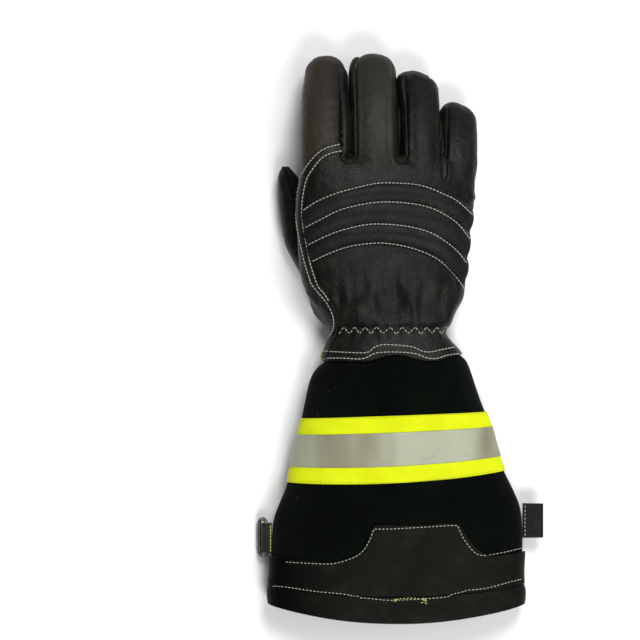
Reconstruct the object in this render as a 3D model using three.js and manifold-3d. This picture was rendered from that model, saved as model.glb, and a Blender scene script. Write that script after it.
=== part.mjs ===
// A firefighter's glove for the right hand, lying palm down: hollow leather hand, flared suede cuff.
// Millimetres, +Z up. The fingers point to +Y, the thumb side is -X and the little-finger side is +X.
import * as THREE from 'three';
import { mergeVertices } from 'three/addons/utils/BufferGeometryUtils.js';
import Module from 'manifold-3d';

const wasm = await Module();
wasm.setup();

// Lengths along the glove
const cuffLength = 171.6; // lapped wrist seam to the lowest point of the hem
const palmLength = 133; // lapped wrist seam to the crotches of the long fingers
const middleLength = 65.6; // crotch line to the tip, as it lies curled
const indexLength = 63.7;
const ringLength = 53.9;
const littleLength = 32.5;
const thumbLength = 88;

// Widths and heights
const palmWidth = 118;
const wristWidth = 81.5;
const hemWidth = 171;
const knuckleHeight = 54;
const wristHeight = 32;
const cuffHeight = 36;
const fingerWidth = 30;
const fingerHeight = 27;
const thumbWidth = 31;
const thumbHeight = 25;

// Walls, laps and clearances
const handWall = 2.4; // leather with its liner
const cuffWall = 2.2; // suede with its liner
const skinWall = 1.2; // one layer of leather sewn on top
const seamGap = 0.3;
const layGap = 0.45; // under a layer that is sewn on a curved wall
const lapLength = 8; // how far the cuff runs up inside the hand

// Trim
const hemBand = 16;
const hemRise = 10.8; // how much shorter the cuff is at its side seams
const tapeWidth = 44;
const stripeWidth = 22;
const tapeThickness = 0.7;
const tapeStart = 36.7; // from the wrist seam to the tape
const guardReach = 48; // from the hem band to the top of the guard's raised middle
const patchLength = 48;
const ribHeight = 2.2;
const gatherDepth = 1.5;
const gatherCount = 10;
const lapWave = 2.4;
const seamStripWidth = 4.6;
const strapWidth = 25;
const strapThickness = 3;
const tabWidth = 23;
const tabReach = 12.5;
const tabThickness = 2.4;
const ringLengthwise = 27;
const ringReach = 10;
const ringHang = 50; // degrees that the ring and its loop lean down from the seam
const ringWire = 2.6;
const loopWidth = 19.5;

// Sections of the hand. at is a share of palmLength; left and right are shares of the width named in span,
// top and bottom shares of the height, and tilt leans the section so that the thumb fits under the index side.
const handSections = [
  { at: 0.005, left: -0.645, right: 0.512, wrist: 1, top: 1.1, bottom: -0.19, tilt: 0 },
  { at: 0.045, left: -0.62, right: 0.469, wrist: 1, top: 1.06, bottom: -0.19, tilt: 0 },
  { at: 0.09, left: -0.589, right: 0.409, wrist: 1, top: 1.015, bottom: -0.19, tilt: 0 },
  { at: 0.128, left: -0.58, right: 0.375, wrist: 1, top: 1, bottom: -0.19, tilt: 0 },
  { at: 0.165, left: -0.613, right: 0.405, wrist: 1, top: 1.03, bottom: -0.16, tilt: 0 },
  { at: 0.225, left: -0.475, right: 0.304, wrist: 0, top: 0.657, bottom: -0.08, tilt: 0 },
  { at: 0.3, left: -0.517, right: 0.325, wrist: 0, top: 0.713, bottom: -0.04, tilt: -0.01 },
  { at: 0.385, left: -0.551, right: 0.341, wrist: 0, top: 0.787, bottom: 0.035, tilt: -0.03 },
  { at: 0.475, left: -0.568, right: 0.35, wrist: 0, top: 0.861, bottom: 0.14, tilt: -0.06 },
  { at: 0.595, left: -0.576, right: 0.362, wrist: 0, top: 0.935, bottom: 0.25, tilt: -0.09 },
  { at: 0.73, left: -0.576, right: 0.38, wrist: 0, top: 0.985, bottom: 0.35, tilt: -0.11 },
  { at: 0.84, left: -0.563, right: 0.402, wrist: 0, top: 1, bottom: 0.405, tilt: -0.12 },
  { at: 0.93, left: -0.535, right: 0.416, wrist: 0, top: 0.965, bottom: 0.43, tilt: -0.12 },
  { at: 0.975, left: -0.515, right: 0.418, wrist: 0, top: 0.9, bottom: 0.48, tilt: -0.12 },
  { at: 1, left: -0.5, right: 0.415, wrist: 0, top: 0.8, bottom: 0.57, tilt: -0.12 },
];

// Sections of the cuff. at is a share of cuffLength, left and right shares of hemWidth, top a share of cuffHeight.
const cuffSections = [
  { at: 0.062, left: -0.345, right: 0.275, top: 0.95 },
  { at: 0.165, left: -0.37, right: 0.312, top: 0.97 },
  { at: 0.245, left: -0.386, right: 0.343, top: 0.98 },
  { at: 0.34, left: -0.407, right: 0.369, top: 0.98 },
  { at: 0.43, left: -0.427, right: 0.399, top: 0.985 },
  { at: 0.495, left: -0.442, right: 0.43, top: 0.99 },
  { at: 0.56, left: -0.468, right: 0.457, top: 1 },
  { at: 0.62, left: -0.489, right: 0.468, top: 1 },
  { at: 0.72, left: -0.498, right: 0.472, top: 1 },
  { at: 0.87, left: -0.501, right: 0.468, top: 1 },
  { at: 0.94, left: -0.505, right: 0.472, top: 1.01 },
  { at: 1, left: -0.505, right: 0.472, top: 1.02 },
];
const cuffBottom = -0.22; // share of cuffHeight that the section dips below the floor, where it lies flat
const roundness = 2.6; // 2 is an ellipse, more is squarer

// Fingers. baseX and tipX are shares of palmWidth, baseZ of knuckleHeight, width and height of a finger's.
// seamLeft and seamRight say where its side strips start on the back, as shares of its half width.
const fingers = [
  { name: 'index', length: indexLength, baseX: -0.434, tipX: -0.426, width: 1, height: 0.985,
    baseZ: 0.775, roll: -4, skew: -0.1, seamLeft: -2, seamRight: 0.77 },
  { name: 'middle', length: middleLength, baseX: -0.137, tipX: -0.15, width: 1, height: 1,
    baseZ: 0.72, roll: 0, skew: 0.1, seamLeft: -0.84, seamRight: 0.82 },
  { name: 'ring', length: ringLength, baseX: 0.116, tipX: 0.1, width: 0.88, height: 0.95,
    baseZ: 0.65, roll: 8, skew: 0.4, seamLeft: -0.8, seamRight: 0.93 },
  { name: 'little', length: littleLength, baseX: 0.302, tipX: 0.32, width: 0.8, height: 0.88,
    baseZ: 0.575, roll: 14, skew: 0.5, seamLeft: -0.8, seamRight: 2 },
];
const fingerRoot = 0.8; // share of palmLength where the finger tubes start, inside the palm
const fingerTaper = 0.95; // width at the tip against the base
const tipRounding = 0.42; // share of a finger's width over which the tip closes

// The thumb's centreline from its root inside the palm to its tip, and its girth along it.
// x is a share of palmWidth, y of thumbLength above thumbRoot, z and girth of the thumb's height and width.
const thumbRoot = 0.3; // share of palmLength
const thumbStations = [
  { at: 0, x: -0.37, y: 0, z: 0.62, girth: 0.98, flat: 1.1 },
  { at: 0.2, x: -0.43, y: 0.19, z: 0.55, girth: 1, flat: 1.06 },
  { at: 0.4, x: -0.515, y: 0.39, z: 0.5, girth: 0.97, flat: 1 },
  { at: 0.6, x: -0.56, y: 0.59, z: 0.47, girth: 0.85, flat: 0.95 },
  { at: 0.78, x: -0.602, y: 0.78, z: 0.45, girth: 0.64, flat: 0.86 },
  { at: 0.92, x: -0.635, y: 0.93, z: 0.42, girth: 0.4, flat: 0.66 },
  { at: 1, x: -0.647, y: 1, z: 0.4, girth: 0.14, flat: 0.3 },
];

// The lapped seam between the back and the leather that comes round from the palm, as it runs on the back.
// at is a share of palmLength, across a share of the section's half width.
const backSeam = [
  { at: -0.05, across: -0.955 },
  { at: 0.04, across: -0.945 },
  { at: 0.15, across: -0.824 },
  { at: 0.28, across: -0.723 },
  { at: 0.416, across: -0.844 },
  { at: 0.577, across: -0.914 },
  { at: 0.72, across: -0.948 },
  { at: 0.89, across: -0.94 },
  { at: 0.99, across: -0.85 },
  { at: 1.03, across: -0.62 },
];

// Quilting rows over the knuckles: the height of each arc at its apex and its fall to both sides,
// as shares of palmLength.
const quiltRows = [
  { apex: 0.577, leftFall: 0.139, rightFall: 0.286 },
  { apex: 0.671, leftFall: 0.143, rightFall: 0.226 },
  { apex: 0.787, leftFall: 0.165, rightFall: 0.21 },
  { apex: 0.877, leftFall: 0.162, rightFall: 0.162 },
];

// The upper edge of the guard: its height above the hem band as a share of guardReach.
// at is a share of the cuff's half width.
const guardEdge = [
  { at: -1, rise: 0.443 },
  { at: -0.9, rise: 0.465 },
  { at: -0.7, rise: 0.454 },
  { at: -0.5, rise: 0.454 },
  { at: -0.36, rise: 0.539 },
  { at: -0.26, rise: 0.677 },
  { at: -0.2, rise: 0.953 },
  { at: -0.14, rise: 0.985 },
  { at: 0.15, rise: 0.985 },
  { at: 0.46, rise: 0.996 },
  { at: 0.52, rise: 0.847 },
  { at: 0.6, rise: 0.666 },
  { at: 0.72, rise: 0.528 },
  { at: 0.85, rise: 0.518 },
  { at: 1, rise: 0.528 },
];

// Materials
const leather = new THREE.MeshStandardMaterial({ color: 0x2b2c2a, roughness: 0.5, metalness: 0 });
const suede = new THREE.MeshStandardMaterial({ color: 0x101412, roughness: 0.95, metalness: 0 });
const yellowTape = new THREE.MeshStandardMaterial({ color: 0xeef20c, roughness: 0.55, metalness: 0 });
const silverTape = new THREE.MeshStandardMaterial({ color: 0xa9aca0, roughness: 0.4, metalness: 0.2 });
const steel = new THREE.MeshStandardMaterial({ color: 0xb8b8b8, roughness: 0.25, metalness: 1 });

// The value of one column of a table at a place along it, on a smooth curve through its rows.
function columnAt(rows, name, at) {
  const last = rows.length - 1;
  let k = 0;
  while (k < last - 1 && at > rows[k + 1].at) k += 1;
  const slopeAt = (i) => {
    const before = rows[Math.max(i - 1, 0)];
    const after = rows[Math.min(i + 1, last)];
    return (after[name] - before[name]) / (after.at - before.at);
  };
  const span = rows[k + 1].at - rows[k].at;
  const t = (at - rows[k].at) / span;
  if (t <= 0) return rows[k][name] + slopeAt(k) * t * span;
  if (t >= 1) return rows[k + 1][name] + slopeAt(k + 1) * (t - 1) * span;
  const rise = 3 * t * t - 2 * t ** 3;
  return rows[k][name] * (1 - rise) + rows[k + 1][name] * rise
    + span * (slopeAt(k) * (t ** 3 - 2 * t * t + t) + slopeAt(k + 1) * (t ** 3 - t * t));
}

// Columns round a section, in degrees: even over the back, wider apart over the flat of the palm side.
const backColumns = Array.from({ length: 21 }, (_, i) => i * 9);
const palmColumns = [180, 189, 198, 207, 216, 234, 252, 270, 288, 306, 324, 333, 342, 351, 360];
const allColumns = [...backColumns, ...palmColumns.slice(1, -1)].map(THREE.MathUtils.degToRad);

// Where a turn points on a rounded box section: 0 is the little-finger side, a quarter turn the top.
function roundBox(turn, squareness = roundness) {
  const power = 2 / squareness;
  const part = (v) => Math.sign(v) * Math.abs(v) ** power;
  return { across: part(Math.cos(turn)), up: part(Math.sin(turn)) };
}

// The turn over the back at which a section is so far across.
function turnAt(across) {
  return Math.acos(Math.sign(across) * Math.abs(across) ** (roundness / 2));
}

// The section of the hand at a height y above the wrist seam, grown by out.
const handRows = handSections.map((row) => {
  const width = row.wrist ? wristWidth : palmWidth;
  const height = row.wrist ? wristHeight : knuckleHeight;
  return {
    at: row.at * palmLength, tilt: row.tilt,
    left: row.left * width, right: row.right * width, top: row.top * height, bottom: row.bottom * height,
  };
});
function handSection(y, out = 0) {
  return {
    left: columnAt(handRows, 'left', y) - out,
    right: columnAt(handRows, 'right', y) + out,
    top: columnAt(handRows, 'top', y) + out,
    bottom: columnAt(handRows, 'bottom', y) - out,
    tilt: columnAt(handRows, 'tilt', y),
  };
}

// A point of a section's outline, lying on a floor at the height rest.
function sectionPoint(section, y, turn, rest, ripple = 0) {
  const { across, up } = roundBox(turn);
  const middle = (section.left + section.right) / 2;
  const x = middle + across * ((section.right - section.left) / 2 + ripple);
  const centre = (section.top + section.bottom) / 2 + section.tilt * (x - middle);
  const z = centre + up * ((section.top - section.bottom) / 2 + ripple);
  return new THREE.Vector3(x, y, Math.max(z, rest));
}

// A point on a skin that runs straight from one of its stops to the next.
function betweenStops(stops, place, pointAt) {
  let k = 0;
  while (k < stops.length - 2 && place > stops[k + 1]) k += 1;
  return pointAt(stops[k]).lerp(pointAt(stops[k + 1]), (place - stops[k]) / (stops[k + 1] - stops[k]));
}

const elasticY = 0.128 * palmLength;
const gatherSpread = 0.11 * palmLength;
const handStops = [...handRows.map((row) => row.at), 0.66 * palmLength].sort((a, b) => a - b);

// How far the lapped seam at the wrist waves up or down, at a height y near it.
function lapShift(y, across) {
  const wave = across < -0.47 ? -1 : Math.cos(2 * Math.PI * (across - 0.03));
  return lapWave * wave * Math.max(1 - Math.abs(y) / elasticY, 0);
}

// The hand's skin: gathered where the elastic draws it in, and wavy at its lapped lower edge.
function handRing(y, turn, out) {
  const pull = Math.exp(-(((y - elasticY) / gatherSpread) ** 2));
  const folds = out < 0 ? 0 : 0.5 + 0.5 * Math.cos(gatherCount * turn);
  const ripple = gatherDepth * pull * folds;
  const point = sectionPoint(handSection(y, out), y, turn, Math.max(-out, 0), ripple);
  point.y += lapShift(y, roundBox(turn).across);
  return point;
}
function handSkin(y, turn, out = 0) {
  return betweenStops(handStops, y, (stop) => handRing(stop, turn, out));
}

// Sections of the cuff, which starts inside the hand and flares towards the hem.
const lapInset = handWall + 2 * layGap;
const lapStops = [-lapLength, 0, 5.5];
const lapRows = lapStops.map((at) => {
  const section = handSection(-at, -lapInset);
  return { at, left: section.left, right: section.right, top: section.top, bottom: section.bottom };
});
const cuffRows = [...lapRows, ...cuffSections.map((row) => ({
  at: row.at * cuffLength, left: row.left * hemWidth, right: row.right * hemWidth,
  top: row.top * cuffHeight, bottom: cuffBottom * cuffHeight,
}))];
const strapFrom = 0.653 * cuffLength;
const strapMiddle = strapFrom + strapWidth / 2 + 2;

// How high the underside of the cuff lies: over the hand's wall, the patch, the hem or the strap.
function cuffRest(along, x) {
  const underSkin = skinWall + 2 * layGap;
  const lap = lapInset * THREE.MathUtils.smoothstep(1 - along / (0.05 * cuffLength), 0, 1);
  const nearStrap = 1 - THREE.MathUtils.smoothstep(Math.abs(along - strapMiddle), 0.62 * strapWidth, 0.8 * strapWidth);
  const towardsTab = THREE.MathUtils.smoothstep(x, -0.12 * hemWidth, -0.05 * hemWidth);
  const strap = (strapThickness + layGap) * nearStrap * towardsTab;
  return Math.max(underSkin, lap, strap);
}

// The cuff's skin. along runs down from the wrist seam.
const cuffShares = [0.062, 0.2, 0.34, 0.43, 0.495, 0.56, 0.62, 0.65, 0.825, 0.865, 1];
const cuffStops = [...lapStops, ...cuffShares.map((at) => at * cuffLength)];
function cuffRing(along, turn, out) {
  const section = {
    left: columnAt(cuffRows, 'left', along) - out,
    right: columnAt(cuffRows, 'right', along) + out,
    top: columnAt(cuffRows, 'top', along) + out,
    bottom: columnAt(cuffRows, 'bottom', along) - out,
    tilt: 0,
  };
  const { across } = roundBox(turn);
  const point = sectionPoint(section, -along, turn, 0);
  point.z = Math.max(point.z, cuffRest(along, point.x) - out);
  point.y += lapShift(-along, across) + hemRise * across * across * Math.max(along / cuffLength, 0) ** 4;
  return point;
}
function cuffSkin(along, turn, out = 0) {
  return betweenStops(cuffStops, along, (stop) => cuffRing(stop, turn, out));
}

const evenly = (steps) => Array.from({ length: steps + 1 }, (_, i) => i / steps);

// A closed geometry from vertices and triangles, turned so that it faces out.
function closedGeometry(vertices, triangles) {
  let volume = 0;
  for (const [a, b, c] of triangles) {
    volume += vertices[a].dot(new THREE.Vector3().crossVectors(vertices[b], vertices[c]));
  }
  const faces = volume < 0 ? triangles.map(([a, b, c]) => [a, c, b]) : triangles;
  const geometry = new THREE.BufferGeometry().setFromPoints(vertices);
  geometry.setIndex(faces.flat());
  return geometry;
}

// A sheet with a thickness: both faces are grids of points, joined along their edges.
// Its columns and rows are a count of even steps, or a list of stops.
function sheet(columnStops, rowStops, outerAt, innerAt) {
  const [across, stops] = [columnStops, rowStops].map((s) => (Array.isArray(s) ? s : evenly(s)));
  const columns = across.length - 1;
  const rows = stops.length - 1;
  const vertices = [];
  const triangles = [];
  const faces = [outerAt, innerAt].map((pointAt) => {
    const first = vertices.length;
    for (let i = 0; i <= columns; i += 1) {
      for (let j = 0; j <= rows; j += 1) vertices.push(pointAt(across[i], stops[j]));
    }
    return (i, j) => first + i * (rows + 1) + j;
  });
  const quad = (a, b, c, d) => triangles.push([a, b, c], [a, c, d]);
  const [outer, inner] = faces;
  for (let i = 0; i < columns; i += 1) {
    for (let j = 0; j < rows; j += 1) {
      quad(outer(i, j), outer(i + 1, j), outer(i + 1, j + 1), outer(i, j + 1));
      quad(inner(i, j), inner(i, j + 1), inner(i + 1, j + 1), inner(i + 1, j));
    }
  }
  for (let i = 0; i < columns; i += 1) {
    quad(outer(i, 0), inner(i, 0), inner(i + 1, 0), outer(i + 1, 0));
    quad(outer(i, rows), outer(i + 1, rows), inner(i + 1, rows), inner(i, rows));
  }
  for (let j = 0; j < rows; j += 1) {
    quad(outer(0, j), outer(0, j + 1), inner(0, j + 1), inner(0, j));
    quad(outer(columns, j), inner(columns, j), inner(columns, j + 1), outer(columns, j + 1));
  }
  return closedGeometry(vertices, triangles);
}

// A solid through loops of points. Its ends are closed, or joined to each other for a ring.
function loft(loops, joined = false) {
  const sides = loops[0].length;
  const vertices = loops.flat();
  const triangles = [];
  const at = (k, i) => (k % loops.length) * sides + (i % sides);
  const spans = joined ? loops.length : loops.length - 1;
  for (let k = 0; k < spans; k += 1) {
    for (let i = 0; i < sides; i += 1) {
      triangles.push([at(k, i), at(k, i + 1), at(k + 1, i + 1)], [at(k, i), at(k + 1, i + 1), at(k + 1, i)]);
    }
  }
  if (!joined) {
    for (const [k, from, to] of [[0, 1, 0], [loops.length - 1, 0, 1]]) {
      const hub = vertices.length;
      const centre = loops[k].reduce((sum, p) => sum.add(p), new THREE.Vector3()).divideScalar(sides);
      vertices.push(centre);
      for (let i = 0; i < sides; i += 1) triangles.push([hub, at(k, i + from), at(k, i + to)]);
    }
  }
  return closedGeometry(vertices, triangles);
}

function toSolid(geometry) {
  const bare = geometry.clone();
  bare.deleteAttribute('normal');
  bare.deleteAttribute('uv');
  const merged = mergeVertices(bare, 1e-4);
  return new wasm.Manifold(new wasm.Mesh({
    numProp: 3,
    vertProperties: merged.attributes.position.array,
    triVerts: new Uint32Array(merged.index.array),
  }));
}

// The largest piece of a cut solid, as a geometry.
function toGeometry(solid) {
  const largest = solid.decompose().reduce((a, b) => (a.volume() > b.volume() ? a : b));
  const { vertProperties, triVerts, numProp } = largest.getMesh();
  const positions = [];
  for (let i = 0; i < vertProperties.length; i += numProp) {
    positions.push(vertProperties[i], vertProperties[i + 1], vertProperties[i + 2]);
  }
  const geometry = new THREE.BufferGeometry();
  geometry.setAttribute('position', new THREE.Float32BufferAttribute(positions, 3));
  geometry.setIndex([...triVerts]);
  return geometry;
}

function joinAll(solids) {
  return solids.reduce((whole, solid) => whole.add(solid));
}

const glove = new THREE.Group();
function addPiece(name, geometry, material) {
  geometry.computeVertexNormals();
  const mesh = new THREE.Mesh(geometry, material);
  mesh.name = name;
  glove.add(mesh);
  return mesh;
}

const fullTurn = 2 * Math.PI;
const turns = (count) => Array.from({ length: count }, (_, i) => (i / count) * fullTurn);

const fingerSides = 16;

// The palm and back as one closed tube through the hand's skin.
function handTube(stops, out) {
  return toSolid(loft(stops.map((y) => allColumns.map((turn) => handSkin(y, turn, out)))));
}
const innerStops = [-0.1, 0.045, 0.128, 0.225, 0.385, 0.595, 0.84, 0.98].map((at) => at * palmLength);

// The centreline of a finger, from inside the palm over its bend to the tip.
function fingerCurve(finger, out) {
  const tipY = palmLength + finger.length;
  const rootY = fingerRoot * palmLength;
  const baseZ = finger.baseZ * knuckleHeight;
  const tipZ = 0.44 * finger.height * fingerHeight;
  const bendX = (finger.baseX * 0.45 + finger.tipX * 0.55) * palmWidth;
  return new THREE.QuadraticBezierCurve3(
    new THREE.Vector3(finger.baseX * palmWidth, rootY, baseZ),
    new THREE.Vector3(bendX, rootY + 0.55 * (tipY - rootY), baseZ + 0.09 * knuckleHeight),
    new THREE.Vector3(finger.tipX * palmWidth, tipY + out, tipZ),
  );
}

// A point of a finger's skin. share runs from the root to where the tip closes, close from 0 to 1 over the tip.
function fingerPoint(finger, share, close, turn, out) {
  const curve = fingerCurve(finger, out);
  const tipShare = (tipRounding * fingerWidth) / curve.getLength();
  const lift = Math.sin((close * Math.PI) / 2);
  const place = THREE.MathUtils.clamp(share * (1 - tipShare) + tipShare * lift, 0, 1);
  const centre = curve.getPointAt(place);
  const forward = curve.getTangentAt(place);
  const right = new THREE.Vector3(forward.y, -forward.x, 0).normalize();
  const up = new THREE.Vector3().crossVectors(right, forward);
  const roll = THREE.MathUtils.degToRad(finger.roll);
  const side = right.clone().multiplyScalar(Math.cos(roll)).addScaledVector(up, -Math.sin(roll));
  const over = right.clone().multiplyScalar(Math.sin(roll)).addScaledVector(up, Math.cos(roll));
  const shrink = Math.max(Math.cos((close * Math.PI) / 2), 0) ** 0.75;
  const taper = THREE.MathUtils.lerp(1, fingerTaper, place);
  const { across, up: above } = roundBox(turn, 2.5);
  const halfWidth = (finger.width * fingerWidth * taper) / 2 + out;
  const halfHeight = (finger.height * fingerHeight * taper) / 2 + out;
  const point = centre.clone()
    .addScaledVector(side, across * halfWidth * shrink)
    .addScaledVector(over, above * halfHeight * shrink)
    .addScaledVector(forward, -finger.skew * across * halfWidth * lift * shrink);
  point.z = Math.max(point.z, Math.max(-out, 0));
  return point;
}
const outerShares = [0, 0.2, 0.4, 0.6, 0.8, 1];
const innerShares = [0, 0.35, 0.7, 1];
function fingerTube(finger, sides, out) {
  const closing = out < 0 ? [0.6] : [0.3, 0.57, 0.8];
  const stops = (out < 0 ? innerShares : outerShares).map((share) => [share, 0]);
  stops.push(...closing.map((close) => [1, close]));
  return toSolid(loft(stops.map(([share, close]) => turns(sides).map(
    (turn) => fingerPoint(finger, share, close, turn, out),
  ))));
}

// A point of the thumb's skin at a share of its length.
function thumbPoint(share, turn, out) {
  const value = (name) => columnAt(thumbStations, name, share);
  const { across, up } = roundBox(turn, 2.3);
  const halfWidth = Math.max((value('girth') * thumbWidth) / 2 + out, 0.6);
  const halfHeight = Math.max((value('flat') * thumbHeight) / 2 + out, 0.6);
  const end = out * THREE.MathUtils.smoothstep(share, 0.7, 1);
  return new THREE.Vector3(
    value('x') * palmWidth + across * halfWidth,
    thumbRoot * palmLength + value('y') * thumbLength + end,
    Math.max(value('z') * thumbHeight + up * halfHeight, Math.max(-out, 0)),
  );
}
function thumbTube(sides, out) {
  const stops = [0, 0.15, 0.3, 0.45, 0.6, 0.72, 0.82, 0.9, 0.96, 1];
  return toSolid(loft(stops.map((share) => turns(sides).map((turn) => thumbPoint(share, turn, out)))));
}

// A vertical prism over an outline seen from above.
const prismTop = 2 * knuckleHeight;
function prism(outline) {
  const shape = new THREE.Shape(outline.map(({ x, y }) => new THREE.Vector2(x, y)));
  const geometry = new THREE.ExtrudeGeometry(shape, { depth: prismTop + 20, bevelEnabled: false });
  return toSolid(geometry.translate(0, 0, -10));
}

// The side strip between two fingers, seen from above: from the seam on one to the seam on the other.
const stripStops = [0.28, 0.4, 0.5, 0.6, 0.7, 0.8, 0.9, 1].map((share) => [share, 0]);
function seamLine(finger, seam, inset) {
  const turn = Math.acos(Math.sign(seam) * Math.abs(seam) ** (2.5 / 2));
  return [...stripStops, [1, 0.45], [1, 0.7]].map(([share, close]) => {
    const point = fingerPoint(finger, share, close, turn, 0);
    return { x: point.x + inset, y: point.y };
  });
}
function stripOutline(leftFinger, rightFinger, crotch, grow) {
  const left = seamLine(leftFinger, leftFinger.seamRight, -grow).filter(({ y }) => y > crotch);
  const right = seamLine(rightFinger, rightFinger.seamLeft, grow).filter(({ y }) => y > crotch);
  const foot = { x: (left[0].x + right[0].x) / 2, y: crotch - fingerWidth * 0.22 - grow };
  const beyond = palmLength + 2 * middleLength;
  const apex = { x: (left.at(-1).x + right.at(-1).x) / 2, y: beyond };
  return [foot, ...right, apex, ...left.reverse()];
}
const crotches = [1.01, 1.01, 0.925].map((at) => at * palmLength);

// The height of the seam that parts the back from the palm, in the middle of the hand's and fingers' sides.
const centrelines = fingers.map((finger) => fingerCurve(finger, 0).getPoints(24));
function centrelineAt(points, y) {
  const k = THREE.MathUtils.clamp(points.findIndex((p) => p.y > y), 1, points.length - 1);
  const from = points[k - 1];
  const to = points[k];
  return from.clone().lerp(to, Math.min((y - from.y) / (to.y - from.y), 1.5));
}
function partingHeight(x, y) {
  const section = handSection(Math.min(y, palmLength));
  const middle = (section.left + section.right) / 2;
  const palm = (section.top + section.bottom) / 2 + section.tilt * (x - middle);
  const places = centrelines.map((points) => centrelineAt(points, y));
  let k = 0;
  while (k < places.length - 2 && x > places[k + 1].x) k += 1;
  const share = THREE.MathUtils.clamp((x - places[k].x) / (places[k + 1].x - places[k].x), 0, 1);
  const finger = THREE.MathUtils.lerp(places[k].z, places[k + 1].z, share);
  const tipDrop = 0.2 * fingerHeight * THREE.MathUtils.smoothstep(y, palmLength, palmLength + middleLength);
  const height = THREE.MathUtils.lerp(palm, finger, THREE.MathUtils.smoothstep(y, 0.8 * palmLength, palmLength));
  return height - tipDrop;
}
function aboveParting(raise) {
  const from = -0.2 * palmLength;
  const reach = palmLength + 1.5 * middleLength - from;
  const place = (u, v) => [(u - 0.5) * 2 * palmWidth, from + v * reach];
  return toSolid(sheet(
    8, 10,
    (u, v) => new THREE.Vector3(...place(u, v), prismTop),
    (u, v) => new THREE.Vector3(...place(u, v), partingHeight(...place(u, v)) + raise),
  ));
}

// The lapped seam on the back, seen from above, moved sideways by shift.
function backSeamLine(shift) {
  const points = [];
  for (let k = 0; k <= 26; k += 1) {
    const at = THREE.MathUtils.lerp(backSeam[0].at, backSeam.at(-1).at, k / 26);
    const section = handSection(Math.min(at, 1) * palmLength);
    const middle = (section.left + section.right) / 2;
    const across = columnAt(backSeam, 'across', at);
    points.push(new THREE.Vector2(middle + (across * (section.right - section.left)) / 2, at * palmLength));
  }
  return points.map((point, k) => {
    const before = points[Math.max(k - 1, 0)];
    const after = points[Math.min(k + 1, points.length - 1)];
    const normal = new THREE.Vector2(-(after.y - before.y), after.x - before.x).normalize();
    return point.clone().addScaledVector(normal, shift);
  });
}
function backOutline(shift) {
  const far = palmLength + 2 * middleLength;
  const line = backSeamLine(shift);
  const stripX = (seamLine(fingers[0], fingers[0].seamRight, 0)[3].x + seamLine(fingers[1], fingers[1].seamLeft, 0)[3].x) / 2;
  return [...line, { x: stripX, y: far }, { x: palmWidth, y: far }, { x: palmWidth, y: line[0].y }];
}

// Hand: one hollow of palm and fingers, cut into the panels that are sewn together.
function makeHand() {
  const outer = joinAll([handTube(handStops, 0), ...fingers.map((finger) => fingerTube(finger, fingerSides, 0))]);
  const inner = joinAll([
    handTube(innerStops, -handWall),
    ...fingers.map((finger) => fingerTube(finger, 8, -handWall)),
    thumbTube(8, -handWall),
  ]);
  const shell = outer.subtract(inner);
  const strips = crotches.map((crotch, k) => [0, 1].map(
    (wide) => prism(stripOutline(fingers[k], fingers[k + 1], crotch, wide * seamGap)),
  ));
  const narrowStrips = strips.map(([narrow]) => narrow);
  const wideStrips = strips.map(([, wide]) => wide);

  const backRegion = prism(backOutline(0)).intersect(aboveParting(0));
  const back = wideStrips.reduce((part, strip) => part.subtract(strip), shell.intersect(backRegion));
  addPiece('back_panel', toGeometry(back), leather);

  const palmRegion = prism(backOutline(seamGap)).intersect(aboveParting(-seamGap));
  const palm = wideStrips.reduce((part, strip) => part.subtract(strip), shell.subtract(palmRegion));
  addPiece('palm_panel', toGeometry(palm), leather);

  narrowStrips.forEach((strip, k) => {
    const name = fingers[k].name + '_' + fingers[k + 1].name + '_strip';
    addPiece(name, toGeometry(shell.intersect(strip)), leather);
  });

  const grown = joinAll([handTube(handStops, seamGap), fingerTube(fingers[0], fingerSides, seamGap)]);
  addPiece('thumb', toGeometry(thumbTube(12, 0).subtract(thumbTube(8, -handWall)).subtract(grown)), leather);
  return outer;
}

// The raised double-sewn strip along the back seam.
function makeSeamStrip() {
  const skins = [layGap + skinWall, layGap].map((out) => joinAll([
    handTube(handStops, out), fingerTube(fingers[0], fingerSides, out),
  ]));
  const right = backSeamLine(0);
  const left = backSeamLine(seamStripWidth);
  const ribbon = prism([...right, ...left.reverse()]);
  const strip = skins[0].subtract(skins[1]).intersect(ribbon).intersect(aboveParting(2));
  addPiece('back_seam_strip', toGeometry(strip), leather);
}

// Quilted ribs over the knuckles, sewn down along the quilting rows.
function quiltRowY(row, across) {
  const fall = across < 0 ? row.leftFall : row.rightFall;
  return (row.apex - fall * across * across) * palmLength;
}
function makeKnucklePad() {
  const ribs = quiltRows.length - 1;
  const rowsPerRib = 3;
  const rowY = (v, across) => {
    const k = Math.min(Math.floor(v * ribs), ribs - 1);
    const share = v * ribs - k;
    return THREE.MathUtils.lerp(quiltRowY(quiltRows[k], across), quiltRowY(quiltRows[k + 1], across), share);
  };
  const place = (u, v) => {
    const seam = columnAt(backSeam, 'across', rowY(v, -0.92) / palmLength) + 0.035;
    const turn = THREE.MathUtils.lerp(0.1 * Math.PI, turnAt(seam), u);
    const y = rowY(v, roundBox(turn).across);
    return { turn, y, puff: Math.abs(Math.sin(Math.PI * v * ribs)) };
  };
  addPiece('knuckle_pad', sheet(
    16, ribs * rowsPerRib,
    (u, v) => {
      const { turn, y, puff } = place(u, v);
      return handSkin(y, turn, layGap + skinWall + ribHeight * puff);
    },
    (u, v) => {
      const { turn, y } = place(u, v);
      return handSkin(y, turn, layGap);
    },
  ), leather);
}

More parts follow.
